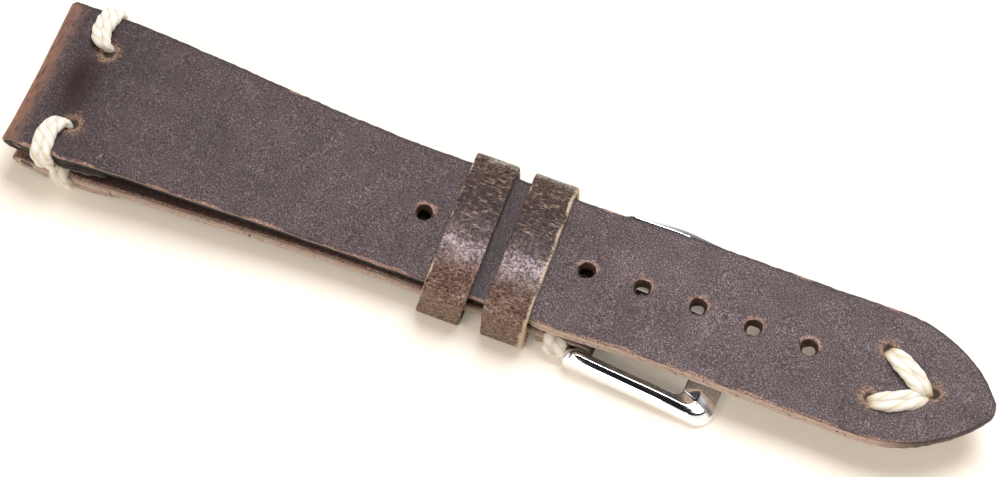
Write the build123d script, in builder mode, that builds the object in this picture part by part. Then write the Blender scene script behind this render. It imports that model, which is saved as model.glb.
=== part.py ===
"""Two-piece leather watch strap: a tail piece threaded through two keepers of a buckle piece.

Frame: origin under the middle of the strap, on the surface that it lies on.
+X runs from the watch end to the tail tip, +Y across the strap, +Z up.
Places along the strap are distances from the tail piece's fold, turned into X by along().
"""
import os
from math import sqrt

from build123d import *

os.makedirs("parts", exist_ok=True)

# Leather pieces, in millimetres
lug_width = 20.0          # both pieces where they meet the watch
tail_width = 16.4         # both pieces from the keepers on
tail_length = 118.0       # tail piece, fold to tip
lug_straight = 7.0        # parallel part behind each fold
taper_length = 34.0       # from the lug width to the tail width
taper_blend = 350.0       # radius that eases the end of the taper
lug_blend = 90.0          # radius that eases the start of the taper
leather = 1.8             # thickness of both pieces
tip_ogive = 14.0          # length of the pointed tip before it is rounded
tip_round = 2.2           # radius of the very tip

# Folds round the watch's spring bars
flap_leather = 0.8        # the end is pared down and folded under
fold_slit = 0.1           # between a flap and the leather above it
flap_length = 13.0        # fold to the flap's pared edge
flap_paring = 2.5         # length over which the flap's edge thins out
lug_bore_radius = 0.8     # tunnel for a 1.5 mm spring bar
lug_bore_inset = 1.9      # fold to the tunnel's axis

# Lie of the tail piece over the buckle piece
fold_offset = 1.4         # the buckle piece's fold starts this far in
lug_rise = 1.65           # the tail piece is propped up by the stitches at its fold
drop_start = 14.0         # where it begins to come down
drop_end = 40.5           # where it lies flat
drop_blend = 120.0        # radius of both bends
tip_lift_length = 12.0    # the tip curls up over this length
tip_lift = 0.9
tip_blend = 90.0
pile_gap = 0.17           # the tail piece lies this far above what is under it

# Buckle holes
hole_count = 8
hole_pitch = 6.7
hole_radius = 0.95
last_hole_from_tip = 21.95

# Keepers
keeper_width = 5.3
keeper_leather = 1.0
keeper_ease = 0.1         # above and below the strap
keeper_side_ease = 0.5
keeper_outer_round = 1.5
keeper_inner_round = 0.3
free_keeper_place = 54.6  # middle of the free keeper
fixed_keeper_place = 61.95
keeper_butt_gap = 0.1     # where a keeper's two ends meet underneath
keeper_staple_reach = 1.4
keeper_staple_length = 1.0
keeper_staple_thread = 0.3

# Thread
thread = 1.25             # width of one pass
thread_gap = 0.08         # between two passes of a stitch
thread_proud = 0.6        # how far a pass stands over the grain side and the edge
thread_bite = 0.15        # how far a pass presses into the leather
lug_stitch_place = 6.1    # fold to the stitch
lug_stitch_inset = 4.1    # edge to the stitch hole
lug_stitch_below = 0.35   # how far a pass stands out under the tail piece's flap
short_stitch_below = 0.2
short_stitch_above = 0.5
bar_stitch_setback = 3.3  # bar to the stitches that close the bar loop
bar_stitch_inset = 3.0
bar_stitch_above = 0.17
bar_stitch_below = 0.1
tail_stitch_point = 8.0   # tip to the point of the V
tail_stitch_length = 4.9
tail_stitch_spread = 2.9
tail_stitch_thread = 2.2  # two passes lie side by side in each arm
tail_stitch_proud = 0.6

# Bar loop and spring bar
bar_distance = 70.3       # buckle piece, fold to bar
bar_radius = 0.7
bar_ease = 0.06
loop_wall = 0.72          # the leather is pared down round the bar
loop_flap_length = 5.5    # bar to the end of the flap under the loop
tang_slot_width = 3.1
tang_slot_setback = 2.2   # bar to the closed end of the tang's slot
tube_wall = 0.25
tube_side_gap = 0.2       # tube end to the ear beside it
pin_ease = 0.04
pin_tip_radius = 0.36
pin_tip_depth = 1.05      # how far a pin reaches into its ear
pin_body_length = 3.2
pin_hole_ease = 0.05
tube_lip = 0.35           # the tube's end is rolled in behind the pin's shoulder
spring_wire = 0.12
spring_wire_sides = 4
spring_turns = 7
spring_ease = 0.03

# Buckle frame and tang
ear_radius = 1.6
ear_side_ease = 0.35      # strap edge to ear
ear_thickness = 1.95
frame_reach = 16.8        # bar to the front edge
front_bar = 4.2
front_ridge = 1.9         # inner edge of the front bar to its ridge
frame_height = 2.3        # at the ridge
outer_edge_height = 1.0
frame_flare = 0.45        # each side stands out this much further at the front
window_flare = 0.3        # and the window widens by this much on each side
frame_arch = 0.45         # hollow of the side bars' underside
frame_corner = 2.2
window_corner = 1.1
frame_rounding = 0.7
frame_under_bevel = 0.2
ear_step = 0.1            # side bars start this much lower than the ears
ear_bevel = 0.35
tang_width = 2.5
tang_tip_width = 1.7
tang_thickness = 1.15
tang_tip_thickness = 0.8
tang_curl_wall = 0.69
tang_curl_seam = 0.12
tang_seat = 0.02          # the tang's tip rests this close over its notch
tang_overlap = 2.7        # how far the tang's tip reaches over the front bar
tang_notch = 0.4
tang_notch_ease = 0.15
tang_tip_round = 0.55
tang_bevel = 0.25

cut_overrun = 5.0         # cuts run past the solid by this much


def along(distance):
    """X of a place that lies this far from the tail piece's fold."""
    return distance - tail_length / 2


# Heights of the pile, from the surface up
short_low = keeper_leather + keeper_ease
short_top = short_low + leather
bar_z = ear_radius
loop_inner = bar_radius + bar_ease
loop_outer = loop_inner + loop_wall
long_low = max(short_top, bar_z + loop_outer) + pile_gap
long_top = long_low + leather
lug_low = long_low + lug_rise
lug_top = lug_low + leather

# Places that several pieces share
bar_x = along(fold_offset + bar_distance)
nose_radius = (flap_leather + fold_slit + leather) / 2
tip_x = along(tail_length)
first_hole = tail_length - last_hole_from_tip - (hole_count - 1) * hole_pitch
ear_inner = tail_width / 2 + ear_side_ease
ear_outer = ear_inner + ear_thickness
tube_half = ear_inner - tube_side_gap


def strap_plan(fold_x, end_x):
    """Half of a piece's outline seen from above, from the fold to where it runs parallel."""
    return [
        (fold_x, lug_width / 2),
        (fold_x + lug_straight, lug_width / 2),
        (fold_x + lug_straight + taper_length, tail_width / 2),
        (end_x, tail_width / 2),
    ]


def ease_taper(plan, fold_x):
    """Rounds the two knees of a piece's outline."""
    for knee_x, radius in ((fold_x + lug_straight, lug_blend),
                           (fold_x + lug_straight + taper_length, taper_blend)):
        knees = plan.vertices().filter_by_position(Axis.X, knee_x - thread, knee_x + thread)
        fillet(knees, radius=radius)


def lug_fold(fold_x, upper_low):
    """Side view of a fold: nose and pared flap, under leather whose flesh side is at upper_low."""
    flap_top = upper_low - fold_slit
    flap_low = flap_top - flap_leather
    flap_end = fold_x + flap_length
    with BuildSketch() as fold:
        with BuildLine():
            Polyline((fold_x + nose_radius, flap_low), (flap_end - flap_paring, flap_low),
                     (flap_end, flap_top), (flap_end, upper_low),
                     (fold_x + nose_radius, upper_low), close=True)
        make_face()
        with Locations((fold_x + nose_radius, flap_low + nose_radius)):
            Circle(nose_radius)
    return fold


def lug_tunnel(fold_x, upper_low):
    """Side view of the hollow in a fold: the spring bar's tunnel and the slit behind it."""
    bore_x = fold_x + lug_bore_inset
    slit_end = fold_x + flap_length + thread
    with BuildSketch() as tunnel:
        with Locations(((bore_x + slit_end) / 2, upper_low - fold_slit / 2)):
            Rectangle(slit_end - bore_x, fold_slit)
        with Locations((bore_x, upper_low - fold_slit - flap_leather + nose_radius)):
            Circle(lug_bore_radius)
    return tunnel


def whip_stitch(middle_x, side, edge, inset, low, high, below, above):
    """Two passes of thread side by side: out of one hole, round the edge and back over the top."""
    hole = edge - inset
    outer_y = edge + thread_proud
    inner_y = hole - thread / 2
    hollow_low = low + thread_bite
    hollow_high = high - thread_bite
    hollow_inner = hole + thread / 2
    hollow_outer = edge - thread_bite
    pair_width = 2 * thread + thread_gap
    with BuildPart() as stitch:
        with BuildSketch(Plane.YZ.offset(middle_x - pair_width / 2)):
            with Locations((side * (inner_y + outer_y) / 2, (low - below + high + above) / 2)):
                RectangleRounded(outer_y - inner_y, high + above - low + below, thread_proud)
            with Locations((side * (hollow_inner + hollow_outer) / 2, (hollow_low + hollow_high) / 2)):
                Rectangle(hollow_outer - hollow_inner, hollow_high - hollow_low, mode=Mode.SUBTRACT)
        extrude(amount=pair_width)
        with BuildSketch(Plane.YZ.offset(middle_x - thread_gap / 2)):
            with Locations((side * (hollow_inner + cut_overrun / 2), (low + high) / 2)):
                Rectangle(cut_overrun, high - low + cut_overrun)
        extrude(amount=thread_gap, mode=Mode.SUBTRACT)
    return stitch


def keeper_band(middle_x, window_low):
    """A closed leather loop round both pieces, its ends meeting underneath."""
    window_high = window_low + long_top - short_low + 2 * keeper_ease
    half_width = tail_width / 2 + keeper_side_ease
    start = middle_x - keeper_width / 2
    middle_z = (window_low + window_high) / 2
    with BuildPart() as band:
        with BuildSketch(Plane.YZ.offset(start)):
            with Locations((0, middle_z)):
                RectangleRounded(2 * (half_width + keeper_leather),
                                 window_high - window_low + 2 * keeper_leather, keeper_outer_round)
                RectangleRounded(2 * half_width, window_high - window_low, keeper_inner_round,
                                 mode=Mode.SUBTRACT)
            with Locations((0, window_low - keeper_leather / 2)):
                Rectangle(keeper_butt_gap, 2 * keeper_leather, mode=Mode.SUBTRACT)
        extrude(amount=keeper_width)
    return band


def keeper_staple(middle_x, window_low):
    """The stitch that closes a keeper: thread sunk into both faces across the butted ends."""
    with BuildPart() as staple:
        with BuildSketch(Plane.YZ.offset(middle_x - keeper_staple_length / 2)):
            with Locations((0, window_low - keeper_leather / 2)):
                Rectangle(2 * keeper_staple_reach, keeper_leather)
                Rectangle(2 * (keeper_staple_reach - keeper_staple_thread),
                          keeper_leather - 2 * keeper_staple_thread, mode=Mode.SUBTRACT)
        extrude(amount=keeper_staple_length)
    return staple


def save(piece, name):
    """Labels a finished piece and writes its file."""
    piece.part.label = name
    export_step(piece.part, f"parts/{name}.step")


# Stitches that close the folds at the watch end, one pair on each piece
lug_edge = lug_width / 2
stitches = {}
for side, side_name in ((-1, "near"), (1, "far")):
    stitches[f"tail_piece_lug_stitch_{side_name}"] = whip_stitch(
        along(lug_stitch_place), side, lug_edge, lug_stitch_inset,
        lug_low - fold_slit - flap_leather, lug_top, lug_stitch_below, thread_proud)
    stitches[f"buckle_piece_lug_stitch_{side_name}"] = whip_stitch(
        along(fold_offset + lug_stitch_place), side, lug_edge, lug_stitch_inset,
        short_low - fold_slit - flap_leather, short_top, short_stitch_below, short_stitch_above)
    stitches[f"bar_loop_stitch_{side_name}"] = whip_stitch(
        bar_x - bar_stitch_setback, side, tail_width / 2, bar_stitch_inset,
        bar_z - loop_outer, short_top, bar_stitch_below, bar_stitch_above)

# V of thread near the tip of the tail piece
point_x = tip_x - tail_stitch_point
with BuildPart() as tail_stitch:
    with BuildSketch(Plane.XY.offset(long_top - thread_bite)):
        for side in (-1, 1):
            arm_start = Vector(point_x, 0)
            arm_end = Vector(point_x - tail_stitch_length, side * tail_stitch_spread)
            arm_run = arm_end - arm_start
            with Locations(Location(tuple((arm_start + arm_end) / 2), arm_run.get_signed_angle(Vector(-1, 0)))):
                SlotCenterToCenter(arm_run.length, tail_stitch_thread)
    extrude(amount=tail_stitch_proud + thread_bite)
save(tail_stitch, "tail_stitch")

# Tail piece
side_radius = (tip_ogive ** 2 + (tail_width / 2) ** 2) / tail_width
tip_span = sqrt((side_radius - tip_round) ** 2 - (side_radius - tail_width / 2) ** 2)
ogive_x = tip_x - tip_round - tip_span
sharp_tip_x = ogive_x + tip_ogive
tail_fold_x = along(0)
tail_fold = lug_fold(tail_fold_x, lug_low)
tail_tunnel = lug_tunnel(tail_fold_x, lug_low)
with BuildPart() as tail_piece:
    with BuildSketch(Plane.XZ):
        ribbon = [
            (tail_fold_x + nose_radius, lug_low),
            (along(drop_start), lug_low),
            (along(drop_end), long_low),
            (tip_x - tip_lift_length, long_low),
            (tip_x, long_low + tip_lift),
        ]
        bends = (drop_blend, drop_blend, tip_blend)
        with BuildLine():
            flesh_line = FilletPolyline(*ribbon, radius=bends)
            grain_line = FilletPolyline(*[(x, z + leather) for x, z in ribbon], radius=bends)
            Line(flesh_line @ 0, grain_line @ 0)
            Line(flesh_line @ 1, grain_line @ 1)
        make_face()
        add(tail_fold.sketch)
        add(tail_tunnel.sketch, mode=Mode.SUBTRACT)
    extrude(amount=lug_width, both=True)
    with BuildSketch(Plane.XY) as tail_plan:
        with BuildLine():
            side_line = Polyline(*strap_plan(tail_fold_x, ogive_x))
            TangentArc(side_line @ 1, (sharp_tip_x, 0), tangent=(1, 0))
            mirror(about=Plane.XZ)
            Line((tail_fold_x, lug_width / 2), (tail_fold_x, -lug_width / 2))
        make_face()
        ease_taper(tail_plan, tail_fold_x)
        fillet(tail_plan.vertices().sort_by(Axis.X)[-1], radius=tip_round)
    extrude(amount=lug_top + cut_overrun, mode=Mode.INTERSECT)
    with BuildSketch(Plane.XY) as hole_row:
        for number in range(hole_count):
            with Locations((along(first_hole + number * hole_pitch), 0)):
                Circle(hole_radius)
    extrude(amount=lug_top + cut_overrun, mode=Mode.SUBTRACT)
    for side_name in ("near", "far"):
        add(stitches[f"tail_piece_lug_stitch_{side_name}"].part, mode=Mode.SUBTRACT)
    add(tail_stitch.part, mode=Mode.SUBTRACT)
save(tail_piece, "tail_piece")

# Buckle piece: folded and stitched at the watch end, pared and looped round the spring bar
buckle_fold_x = along(fold_offset)
buckle_fold = lug_fold(buckle_fold_x, short_low)
buckle_tunnel = lug_tunnel(buckle_fold_x, short_low)
loop_flap_x = bar_x - loop_flap_length
loop_low = bar_z - loop_outer
with BuildSketch() as bar_loop:
    with Locations((bar_x, bar_z)):
        Circle(loop_outer)
    with Locations((loop_flap_x + thread / 2, (loop_low + short_top) / 2)):
        Rectangle(thread, short_top - loop_low)
    make_hull()
with BuildSketch() as bar_hollow:
    with Locations((bar_x, bar_z)):
        Circle(loop_inner)
    with Locations((loop_flap_x, short_low - fold_slit / 2)):
        Rectangle(fold_slit, fold_slit)
    make_hull()
with BuildPart() as buckle_piece:
    with BuildSketch(Plane.XZ):
        with BuildLine():
            Polyline((buckle_fold_x + nose_radius, short_low), (loop_flap_x, short_low),
                     (loop_flap_x, short_top), (buckle_fold_x + nose_radius, short_top), close=True)
        make_face()
        add(buckle_fold.sketch)
        add(bar_loop.sketch)
        add(buckle_tunnel.sketch, mode=Mode.SUBTRACT)
        add(bar_hollow.sketch, mode=Mode.SUBTRACT)
    extrude(amount=lug_width, both=True)
    with BuildSketch(Plane.XY) as buckle_plan:
        with BuildLine():
            Polyline(*strap_plan(buckle_fold_x, bar_x + cut_overrun))
            mirror(about=Plane.XZ)
            Line((buckle_fold_x, lug_width / 2), (buckle_fold_x, -lug_width / 2))
            Line((bar_x + cut_overrun, tail_width / 2), (bar_x + cut_overrun, -tail_width / 2))
        make_face()
        ease_taper(buckle_plan, buckle_fold_x)
    extrude(amount=lug_top + cut_overrun, mode=Mode.INTERSECT)
    with BuildSketch(Plane.XY):
        with Locations((bar_x - tang_slot_setback + cut_overrun, 0)):
            SlotOverall(2 * cut_overrun, tang_slot_width)
    extrude(amount=lug_top + cut_overrun, mode=Mode.SUBTRACT)
    for side_name in ("near", "far"):
        add(stitches[f"buckle_piece_lug_stitch_{side_name}"].part, mode=Mode.SUBTRACT)
        add(stitches[f"bar_loop_stitch_{side_name}"].part, mode=Mode.SUBTRACT)
save(buckle_piece, "buckle_piece")
for stitch_name, stitch in stitches.items():
    save(stitch, stitch_name)

# Keepers, each closed underneath by one stitch
keeper_low = short_low - keeper_ease
for keeper_name, place in (("free_keeper", free_keeper_place), ("fixed_keeper", fixed_keeper_place)):
    keeper_stitch = keeper_staple(along(place), keeper_low)
    save(keeper_stitch, f"{keeper_name}_stitch")
    with BuildPart() as keeper:
        add(keeper_band(along(place), keeper_low).part)
        add(keeper_stitch.part, mode=Mode.SUBTRACT)
    save(keeper, keeper_name)


def across(y):
    """Plane square to the spring bar, its origin on the bar's axis."""
    return Plane(origin=(bar_x, y, bar_z), x_dir=(1, 0, 0), z_dir=(0, 1, 0))


# Buckle frame
front_x = bar_x + frame_reach
window_x = front_x - front_bar
ridge_x = window_x + front_ridge
pin_hole_radius = pin_tip_radius + pin_hole_ease
tang_low = frame_height - tang_notch + tang_seat
bar_top = 2 * ear_radius - ear_step
top_fall = (bar_top - frame_height) / (ridge_x - bar_x)
arch_point = ((bar_x + window_x) / 2, frame_arch)


def frame_outline(rear_x, end_x, half_width, flare, corner):
    """Plan of the frame's outer or inner edge, wider at the front, with two rounded corners."""
    with BuildSketch() as outline:
        with BuildLine():
            Polyline((rear_x, half_width), (end_x, half_width + flare),
                     (end_x, -half_width - flare), (rear_x, -half_width), close=True)
        make_face()
        fillet(outline.vertices().group_by(Axis.X)[-1], radius=corner)
    return outline


def ear(side):
    """One of the frame's two round ears, with its outer rim bevelled."""
    with BuildPart() as knuckle:
        with BuildSketch(across(side * ear_inner)):
            Circle(ear_radius)
        extrude(amount=side * ear_thickness)
        chamfer(knuckle.edges().sort_by(lambda rim: abs(rim.center().Y))[-1], length=ear_bevel)
    return knuckle


def rim_of(flat):
    """Edges of a face of the frame, less those where the side bars run into the ears."""
    return flat.edges().filter_by(lambda rim: rim.center().X > bar_x + ear_bevel)


ears = [ear(side) for side in (-1, 1)]
frame_ring = frame_outline(bar_x, front_x, ear_outer, frame_flare, frame_corner)
frame_window = frame_outline(bar_x, window_x, ear_inner, window_flare, window_corner)
with BuildPart() as buckle_frame:
    with BuildSketch(Plane.XY):
        add(frame_ring.sketch)
        add(frame_window.sketch, mode=Mode.SUBTRACT)
    extrude(amount=2 * ear_radius)
    with BuildSketch(Plane.XZ):
        with BuildLine():
            Polyline((bar_x, 0), (front_x, 0), (front_x, frame_height - top_fall * (front_x - ridge_x)),
                     (bar_x, bar_top), close=True)
        make_face()
    extrude(amount=lug_width, both=True, mode=Mode.INTERSECT)
    sloping_top = buckle_frame.faces().filter_by(GeomType.PLANE).sort_by(lambda flat: flat.normal_at().Z)[-1]
    fillet(rim_of(sloping_top), radius=frame_rounding)
    underside = buckle_frame.faces().filter_by(GeomType.PLANE).sort_by(lambda flat: flat.normal_at().Z)[0]
    chamfer(rim_of(underside), length=frame_under_bevel)
    with BuildSketch(Plane.XZ):
        with BuildLine():
            ThreePointArc((window_x, 0), arch_point, (bar_x, 0))
            Line((bar_x, 0), (window_x, 0))
        make_face()
        with BuildLine():
            Polyline((ridge_x, frame_height), (front_x, outer_edge_height),
                     (front_x + cut_overrun, outer_edge_height),
                     (front_x + cut_overrun, frame_height + cut_overrun),
                     (ridge_x, frame_height + cut_overrun), close=True)
        make_face()
    extrude(amount=lug_width, both=True, mode=Mode.SUBTRACT)
    for knuckle in ears:
        add(knuckle.part)
    for side in (-1, 1):
        with BuildSketch(across(side * ear_inner)):
            Circle(pin_hole_radius)
        extrude(amount=side * (pin_tip_depth + pin_hole_ease), mode=Mode.SUBTRACT)
    with BuildSketch(Plane.XY.offset(tang_low - tang_seat)):
        with Locations(((window_x + front_x) / 2, 0)):
            Rectangle(2 * front_bar, tang_tip_width + 2 * tang_notch_ease)
    extrude(amount=ear_radius, mode=Mode.SUBTRACT)
save(buckle_frame, "buckle_frame")

# Tang: a tapering strip whose end is curled round the bar
tang_tip_x = window_x + tang_overlap
curl_radius = loop_inner + tang_curl_wall
with BuildPart() as buckle_tang:
    with BuildSketch(Plane.XZ):
        with BuildLine():
            Polyline((bar_x, tang_low), (tang_tip_x, tang_low), (tang_tip_x, tang_low + tang_tip_thickness),
                     (bar_x, bar_z + curl_radius), close=True)
        make_face()
        with Locations((bar_x, bar_z)):
            Circle(curl_radius)
            Circle(loop_inner, mode=Mode.SUBTRACT)
        with Locations((bar_x + curl_radius / 2, tang_low - tang_curl_seam / 2)):
            Rectangle(curl_radius, tang_curl_seam, mode=Mode.SUBTRACT)
    extrude(amount=tang_width, both=True)
    with BuildSketch(Plane.XY) as tang_plan:
        with BuildLine():
            Polyline((bar_x - curl_radius, tang_width / 2), (bar_x + curl_radius, tang_width / 2),
                     (tang_tip_x, tang_tip_width / 2), (tang_tip_x, -tang_tip_width / 2),
                     (bar_x + curl_radius, -tang_width / 2), (bar_x - curl_radius, -tang_width / 2), close=True)
        make_face()
        fillet(tang_plan.vertices().group_by(Axis.X)[-1], radius=tang_tip_round)
    extrude(amount=lug_top, mode=Mode.INTERSECT)
    tang_back = buckle_tang.faces().filter_by(GeomType.PLANE).sort_by(Axis.Z)[-1]
    chamfer(tang_back.edges().filter_by(lambda rim: rim.center().X > bar_x + curl_radius),
            length=tang_bevel)
save(buckle_tang, "buckle_tang")

# Spring bar: a tube with a sprung pin in each end
tube_bore = bar_radius - tube_wall
pin_body_radius = tube_bore - pin_ease
with BuildPart() as bar_tube:
    with BuildSketch(across(-tube_half)):
        Circle(bar_radius)
    extrude(amount=2 * tube_half)
    chamfer(bar_tube.edges().filter_by(GeomType.CIRCLE), length=tube_wall / 2)
    with BuildSketch(across(-tube_half + tube_lip)):
        Circle(tube_bore)
    extrude(amount=2 * (tube_half - tube_lip), mode=Mode.SUBTRACT)
    with BuildSketch(across(-tube_half)):
        Circle(pin_tip_radius + pin_ease)
    extrude(amount=2 * tube_half, mode=Mode.SUBTRACT)
save(bar_tube, "bar_tube")

pin_shoulder = tube_half - tube_lip - pin_ease
pin_inner = pin_shoulder - pin_body_length
for side, side_name in ((-1, "near"), (1, "far")):
    with BuildPart() as pin:
        with BuildSketch(across(side * pin_inner)):
            Circle(pin_body_radius)
        extrude(amount=side * pin_body_length)
        with BuildSketch(across(side * pin_shoulder)):
            Circle(pin_tip_radius)
        extrude(amount=side * (ear_inner + pin_tip_depth - pin_shoulder))
        pin_end = pin.edges().filter_by(GeomType.CIRCLE).sort_by(lambda rim: abs(rim.center().Y))[-1]
        chamfer(pin_end, length=pin_tip_radius / 2)
    save(pin, f"bar_pin_{side_name}")

spring_half = pin_inner - spring_ease - spring_wire / 2
coil_radius = tube_bore - spring_ease - spring_wire / 2
with BuildPart() as bar_spring:
    with BuildLine() as coil:
        turns = Helix(pitch=2 * spring_half / spring_turns, height=2 * spring_half, radius=coil_radius,
                      center=(bar_x, -spring_half, bar_z), direction=(0, 1, 0))
    with BuildSketch(Plane(origin=turns @ 0, z_dir=turns % 0)):
        RegularPolygon(spring_wire / 2, spring_wire_sides)
    sweep(path=coil.wires()[0], is_frenet=True)
save(bar_spring, "bar_spring")
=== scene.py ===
from functools import partial
from math import acos, cos, pi, radians, sin, sqrt

import bmesh
import bpy
import numpy as np
from mathutils import Matrix, Vector


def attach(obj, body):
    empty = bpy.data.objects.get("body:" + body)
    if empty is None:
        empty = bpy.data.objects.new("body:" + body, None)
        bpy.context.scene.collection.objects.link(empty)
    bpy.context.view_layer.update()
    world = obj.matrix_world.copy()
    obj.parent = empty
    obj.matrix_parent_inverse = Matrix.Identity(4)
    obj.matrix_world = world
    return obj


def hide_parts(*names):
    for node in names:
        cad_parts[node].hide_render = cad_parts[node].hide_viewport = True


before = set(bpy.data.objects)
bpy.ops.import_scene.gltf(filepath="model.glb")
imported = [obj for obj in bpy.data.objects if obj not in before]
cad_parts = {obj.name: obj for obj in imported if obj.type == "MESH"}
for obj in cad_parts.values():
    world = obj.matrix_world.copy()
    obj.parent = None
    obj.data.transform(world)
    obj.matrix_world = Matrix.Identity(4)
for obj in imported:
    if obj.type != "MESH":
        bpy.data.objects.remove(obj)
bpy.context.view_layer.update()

MM = 0.001

# Sizes in millimetres. Places along the strap are counted from the tail piece's fold.
FOLD_X = -59.0                     # that fold, as X in the frame
BEFORE, BEYOND = -20, 200          # well before the fold and well past the tip
LUG_HALF = 10.0                    # half width at the watch end
TAIL_HALF = 8.2
TAPER = (7.0, 41.0)                # the strap narrows between these places
TAPER_EASE = (2.4, 9.3)            # and each bend in its outline reaches so far
LEATHER = 1.8                      # thickness
FLAP = 0.8                         # leather of the flap that is turned under at a fold
FLAP_LONG = 13.0                   # the flap's end, from the fold
FLAP_PARED = 2.5                   # its last stretch, pared thin
SLIT = 0.1                         # between the flap and the strap
NOSE = 1.35                        # outer radius of a fold
TUNNEL = 0.8                       # radius of the tunnel inside it
TUNNEL_IN = 1.9                    # and the tunnel's middle, from the fold
FLAP_MEET = (43.4, 0.58)           # where the tunnel meets the flap: degrees below its middle, and X
SLIT_MEET = (34.2, 0.66)           # where it meets the slit's upper side
LUG_LOW = 4.9                      # height of the tail piece's flesh side at the fold
LONG_LOW = 3.25                    # and past the slope down
DROP = (14, 40.5)                  # which lies between these places
DROP_EASE = 3.7                    # and bends over so long at each end
TURN_UP = (12, 1.8, 6.7)           # the tip turns up: reach to each side of it, rise and ease
SHORT_LOW = 1.1                    # height of the buckle piece's flesh side
SHORT_FOLD = 1.4                   # and place of its fold
TIP = 118.0                        # the tail's end
TIP_ROUND = 2.2                    # radius of the small round there
TIP_OGIVE = 14.0                   # the tip's arcs would meet so far on if no round cut them off
# radius of the two arcs, and where they begin
SIDE_RADIUS = (TIP_OGIVE ** 2 + TAIL_HALF ** 2) / (2 * TAIL_HALF)
OGIVE_X = TIP - TIP_ROUND - sqrt((SIDE_RADIUS - TIP_ROUND) ** 2 - (SIDE_RADIUS - TAIL_HALF) ** 2)
HOLE_FIRST = 49.15                 # place of the first buckle hole
HOLE_PITCH = 6.7
HOLE_COUNT = 8
HOLE_RADIUS = 0.95
HOLE_RIM = 1.14                    # the rim's rounding starts here
HOLE_REACH = 3.3                   # the grid is square again from here on
BAR_X = 12.7                       # the buckle's bar, in the frame
BAR_Z = 1.6
LOOP_IN = 0.76                     # the leather loop round the bar: its radii
LOOP_OUT = 1.48
LOOP_TURN_OUT = (92.45, -90)       # and the degrees from and to which they turn
LOOP_TURN_IN = (103.2, -91.7)
LOOP_FLAP_X = 66.2                 # the rise to the loop starts, and the flap under it ends
SLOT_HALF = 1.55                   # half width of the slot for the tang
SLOT_END = 69.5                    # place of both its ends, above the bar and below
EDGE = 0.22                        # rounding of the grain side's worn edge
UNDER = 0.14                       # rounding of the flesh side's edge
THINNEST = 0.02                    # no band is thinner
ON_TABLE = 0.01                    # nothing reaches lower
MERGED = 0.002                     # points closer than this become one
SLIVER = 0.0005                    # and edges shorter than this go
GRAIN, SIDE, BORE, FLESH = 0, 1, 2, 3              # the walls of a leather band


# Small tools

def srgb(code):
    """Linear colour of an sRGB hex value: each channel through the standard transfer curve."""
    parts = np.array([int(code[k:k + 2], 16) for k in (1, 3, 5)]) / 255
    linear = np.where(parts <= 0.04045, parts / 12.92, ((parts + 0.055) / 1.055) ** 2.4)
    return (*linear.tolist(), 1.0)


def bumpy(points, size, seed):
    """Smooth random height of about unit spread: a sum of sine waves in random directions. size is about
    their length in millimetres, one number or one for each axis."""
    rng = np.random.default_rng(seed)
    count = 22
    way = rng.normal(size=(count, 3))
    way /= np.linalg.norm(way, axis=1)[:, None]
    way = way * 2 * pi / (np.asarray(size) * rng.uniform(0.7, 1.6, (count, 1)))
    phase = rng.uniform(0, 2 * pi, count)
    return np.sin(points @ way.T + phase).sum(1) / sqrt(count / 2)


def eased(x, knots, values, ease):
    """Straight lines through the knots, rounded at each inner one over ease to each side."""
    knots, values = np.asarray(knots, float), np.asarray(values, float)
    slope = np.diff(values) / np.diff(knots)
    y = np.interp(x, knots, values)
    for k in range(1, len(knots) - 1):
        reach = np.clip(ease[k - 1] - np.abs(x - knots[k]), 0, None)
        y = y + (slope[k] - slope[k - 1]) * reach ** 2 / (4 * ease[k - 1])
    return y


def fall(distance, reach):
    """1 at no distance, falling smoothly to 0 at reach."""
    share = np.clip(1 - distance / reach, 0, 1)
    return share * share * (3 - 2 * share)


def ramp(distance, reach):
    """0 at no distance, rising straight to 1 at reach."""
    return np.clip(distance / reach, 0, 1)


def bell(distance, width):
    """1 at no distance, in a bell curve of that width."""
    return np.exp(-(distance / width) ** 2)


def steps(start, *runs):
    """Values from start on: each (end, number) adds that many even steps up to end."""
    values = [start]
    for end, number in runs:
        values.extend(np.linspace(values[-1], end, number + 1)[1:].tolist())
    return np.array(values)


def lengths(line):
    """Length along a line up to each of its points."""
    return np.r_[0, np.cumsum(np.linalg.norm(np.diff(line, axis=0), axis=1))]


def arc(centre, radius, turn):
    """Points of an arc: the centre plus radius times the cosine and the sine of each angle."""
    return np.stack([centre[0] + radius * np.cos(turn), centre[1] + radius * np.sin(turn)], 1)


def spline_through(points, count, closed=False):
    """Catmull-Rom curve through the points, at count places evenly spaced in length."""
    p = np.asarray(points, float)
    p = np.vstack([p[-1], p, p[:2]]) if closed else np.vstack([2 * p[0] - p[1], p, 2 * p[-1] - p[-2]])
    t = np.linspace(0, 1, 24, endpoint=False)[:, None]
    runs = []
    for a, b, c, d in zip(p[:-3], p[1:-2], p[2:-1], p[3:]):
        bend, twist = 2 * a - 5 * b + 4 * c - d, 3 * b - a - 3 * c + d
        runs.append(0.5 * (2 * b + (c - a) * t + bend * t ** 2 + twist * t ** 3))
    line = np.vstack(runs + [p[-2:-1]])
    length = lengths(line)
    even = np.linspace(0, length[-1], count)
    return np.stack([np.interp(even, length, line[:, k]) for k in range(3)], 1)


def quads_of(ids):
    """The faces between neighbouring rows and columns of a grid of point numbers."""
    return np.stack([ids[:-1, :-1], ids[1:, :-1], ids[1:, 1:], ids[:-1, 1:]], -1)


def mark(mesh, **values):
    """Stores one number for each point under each name, for the material to read."""
    for label, data in values.items():
        stored = mesh.attributes.new(label, "FLOAT", "POINT").data
        stored.foreach_set("value", np.asarray(data, np.float32))


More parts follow.
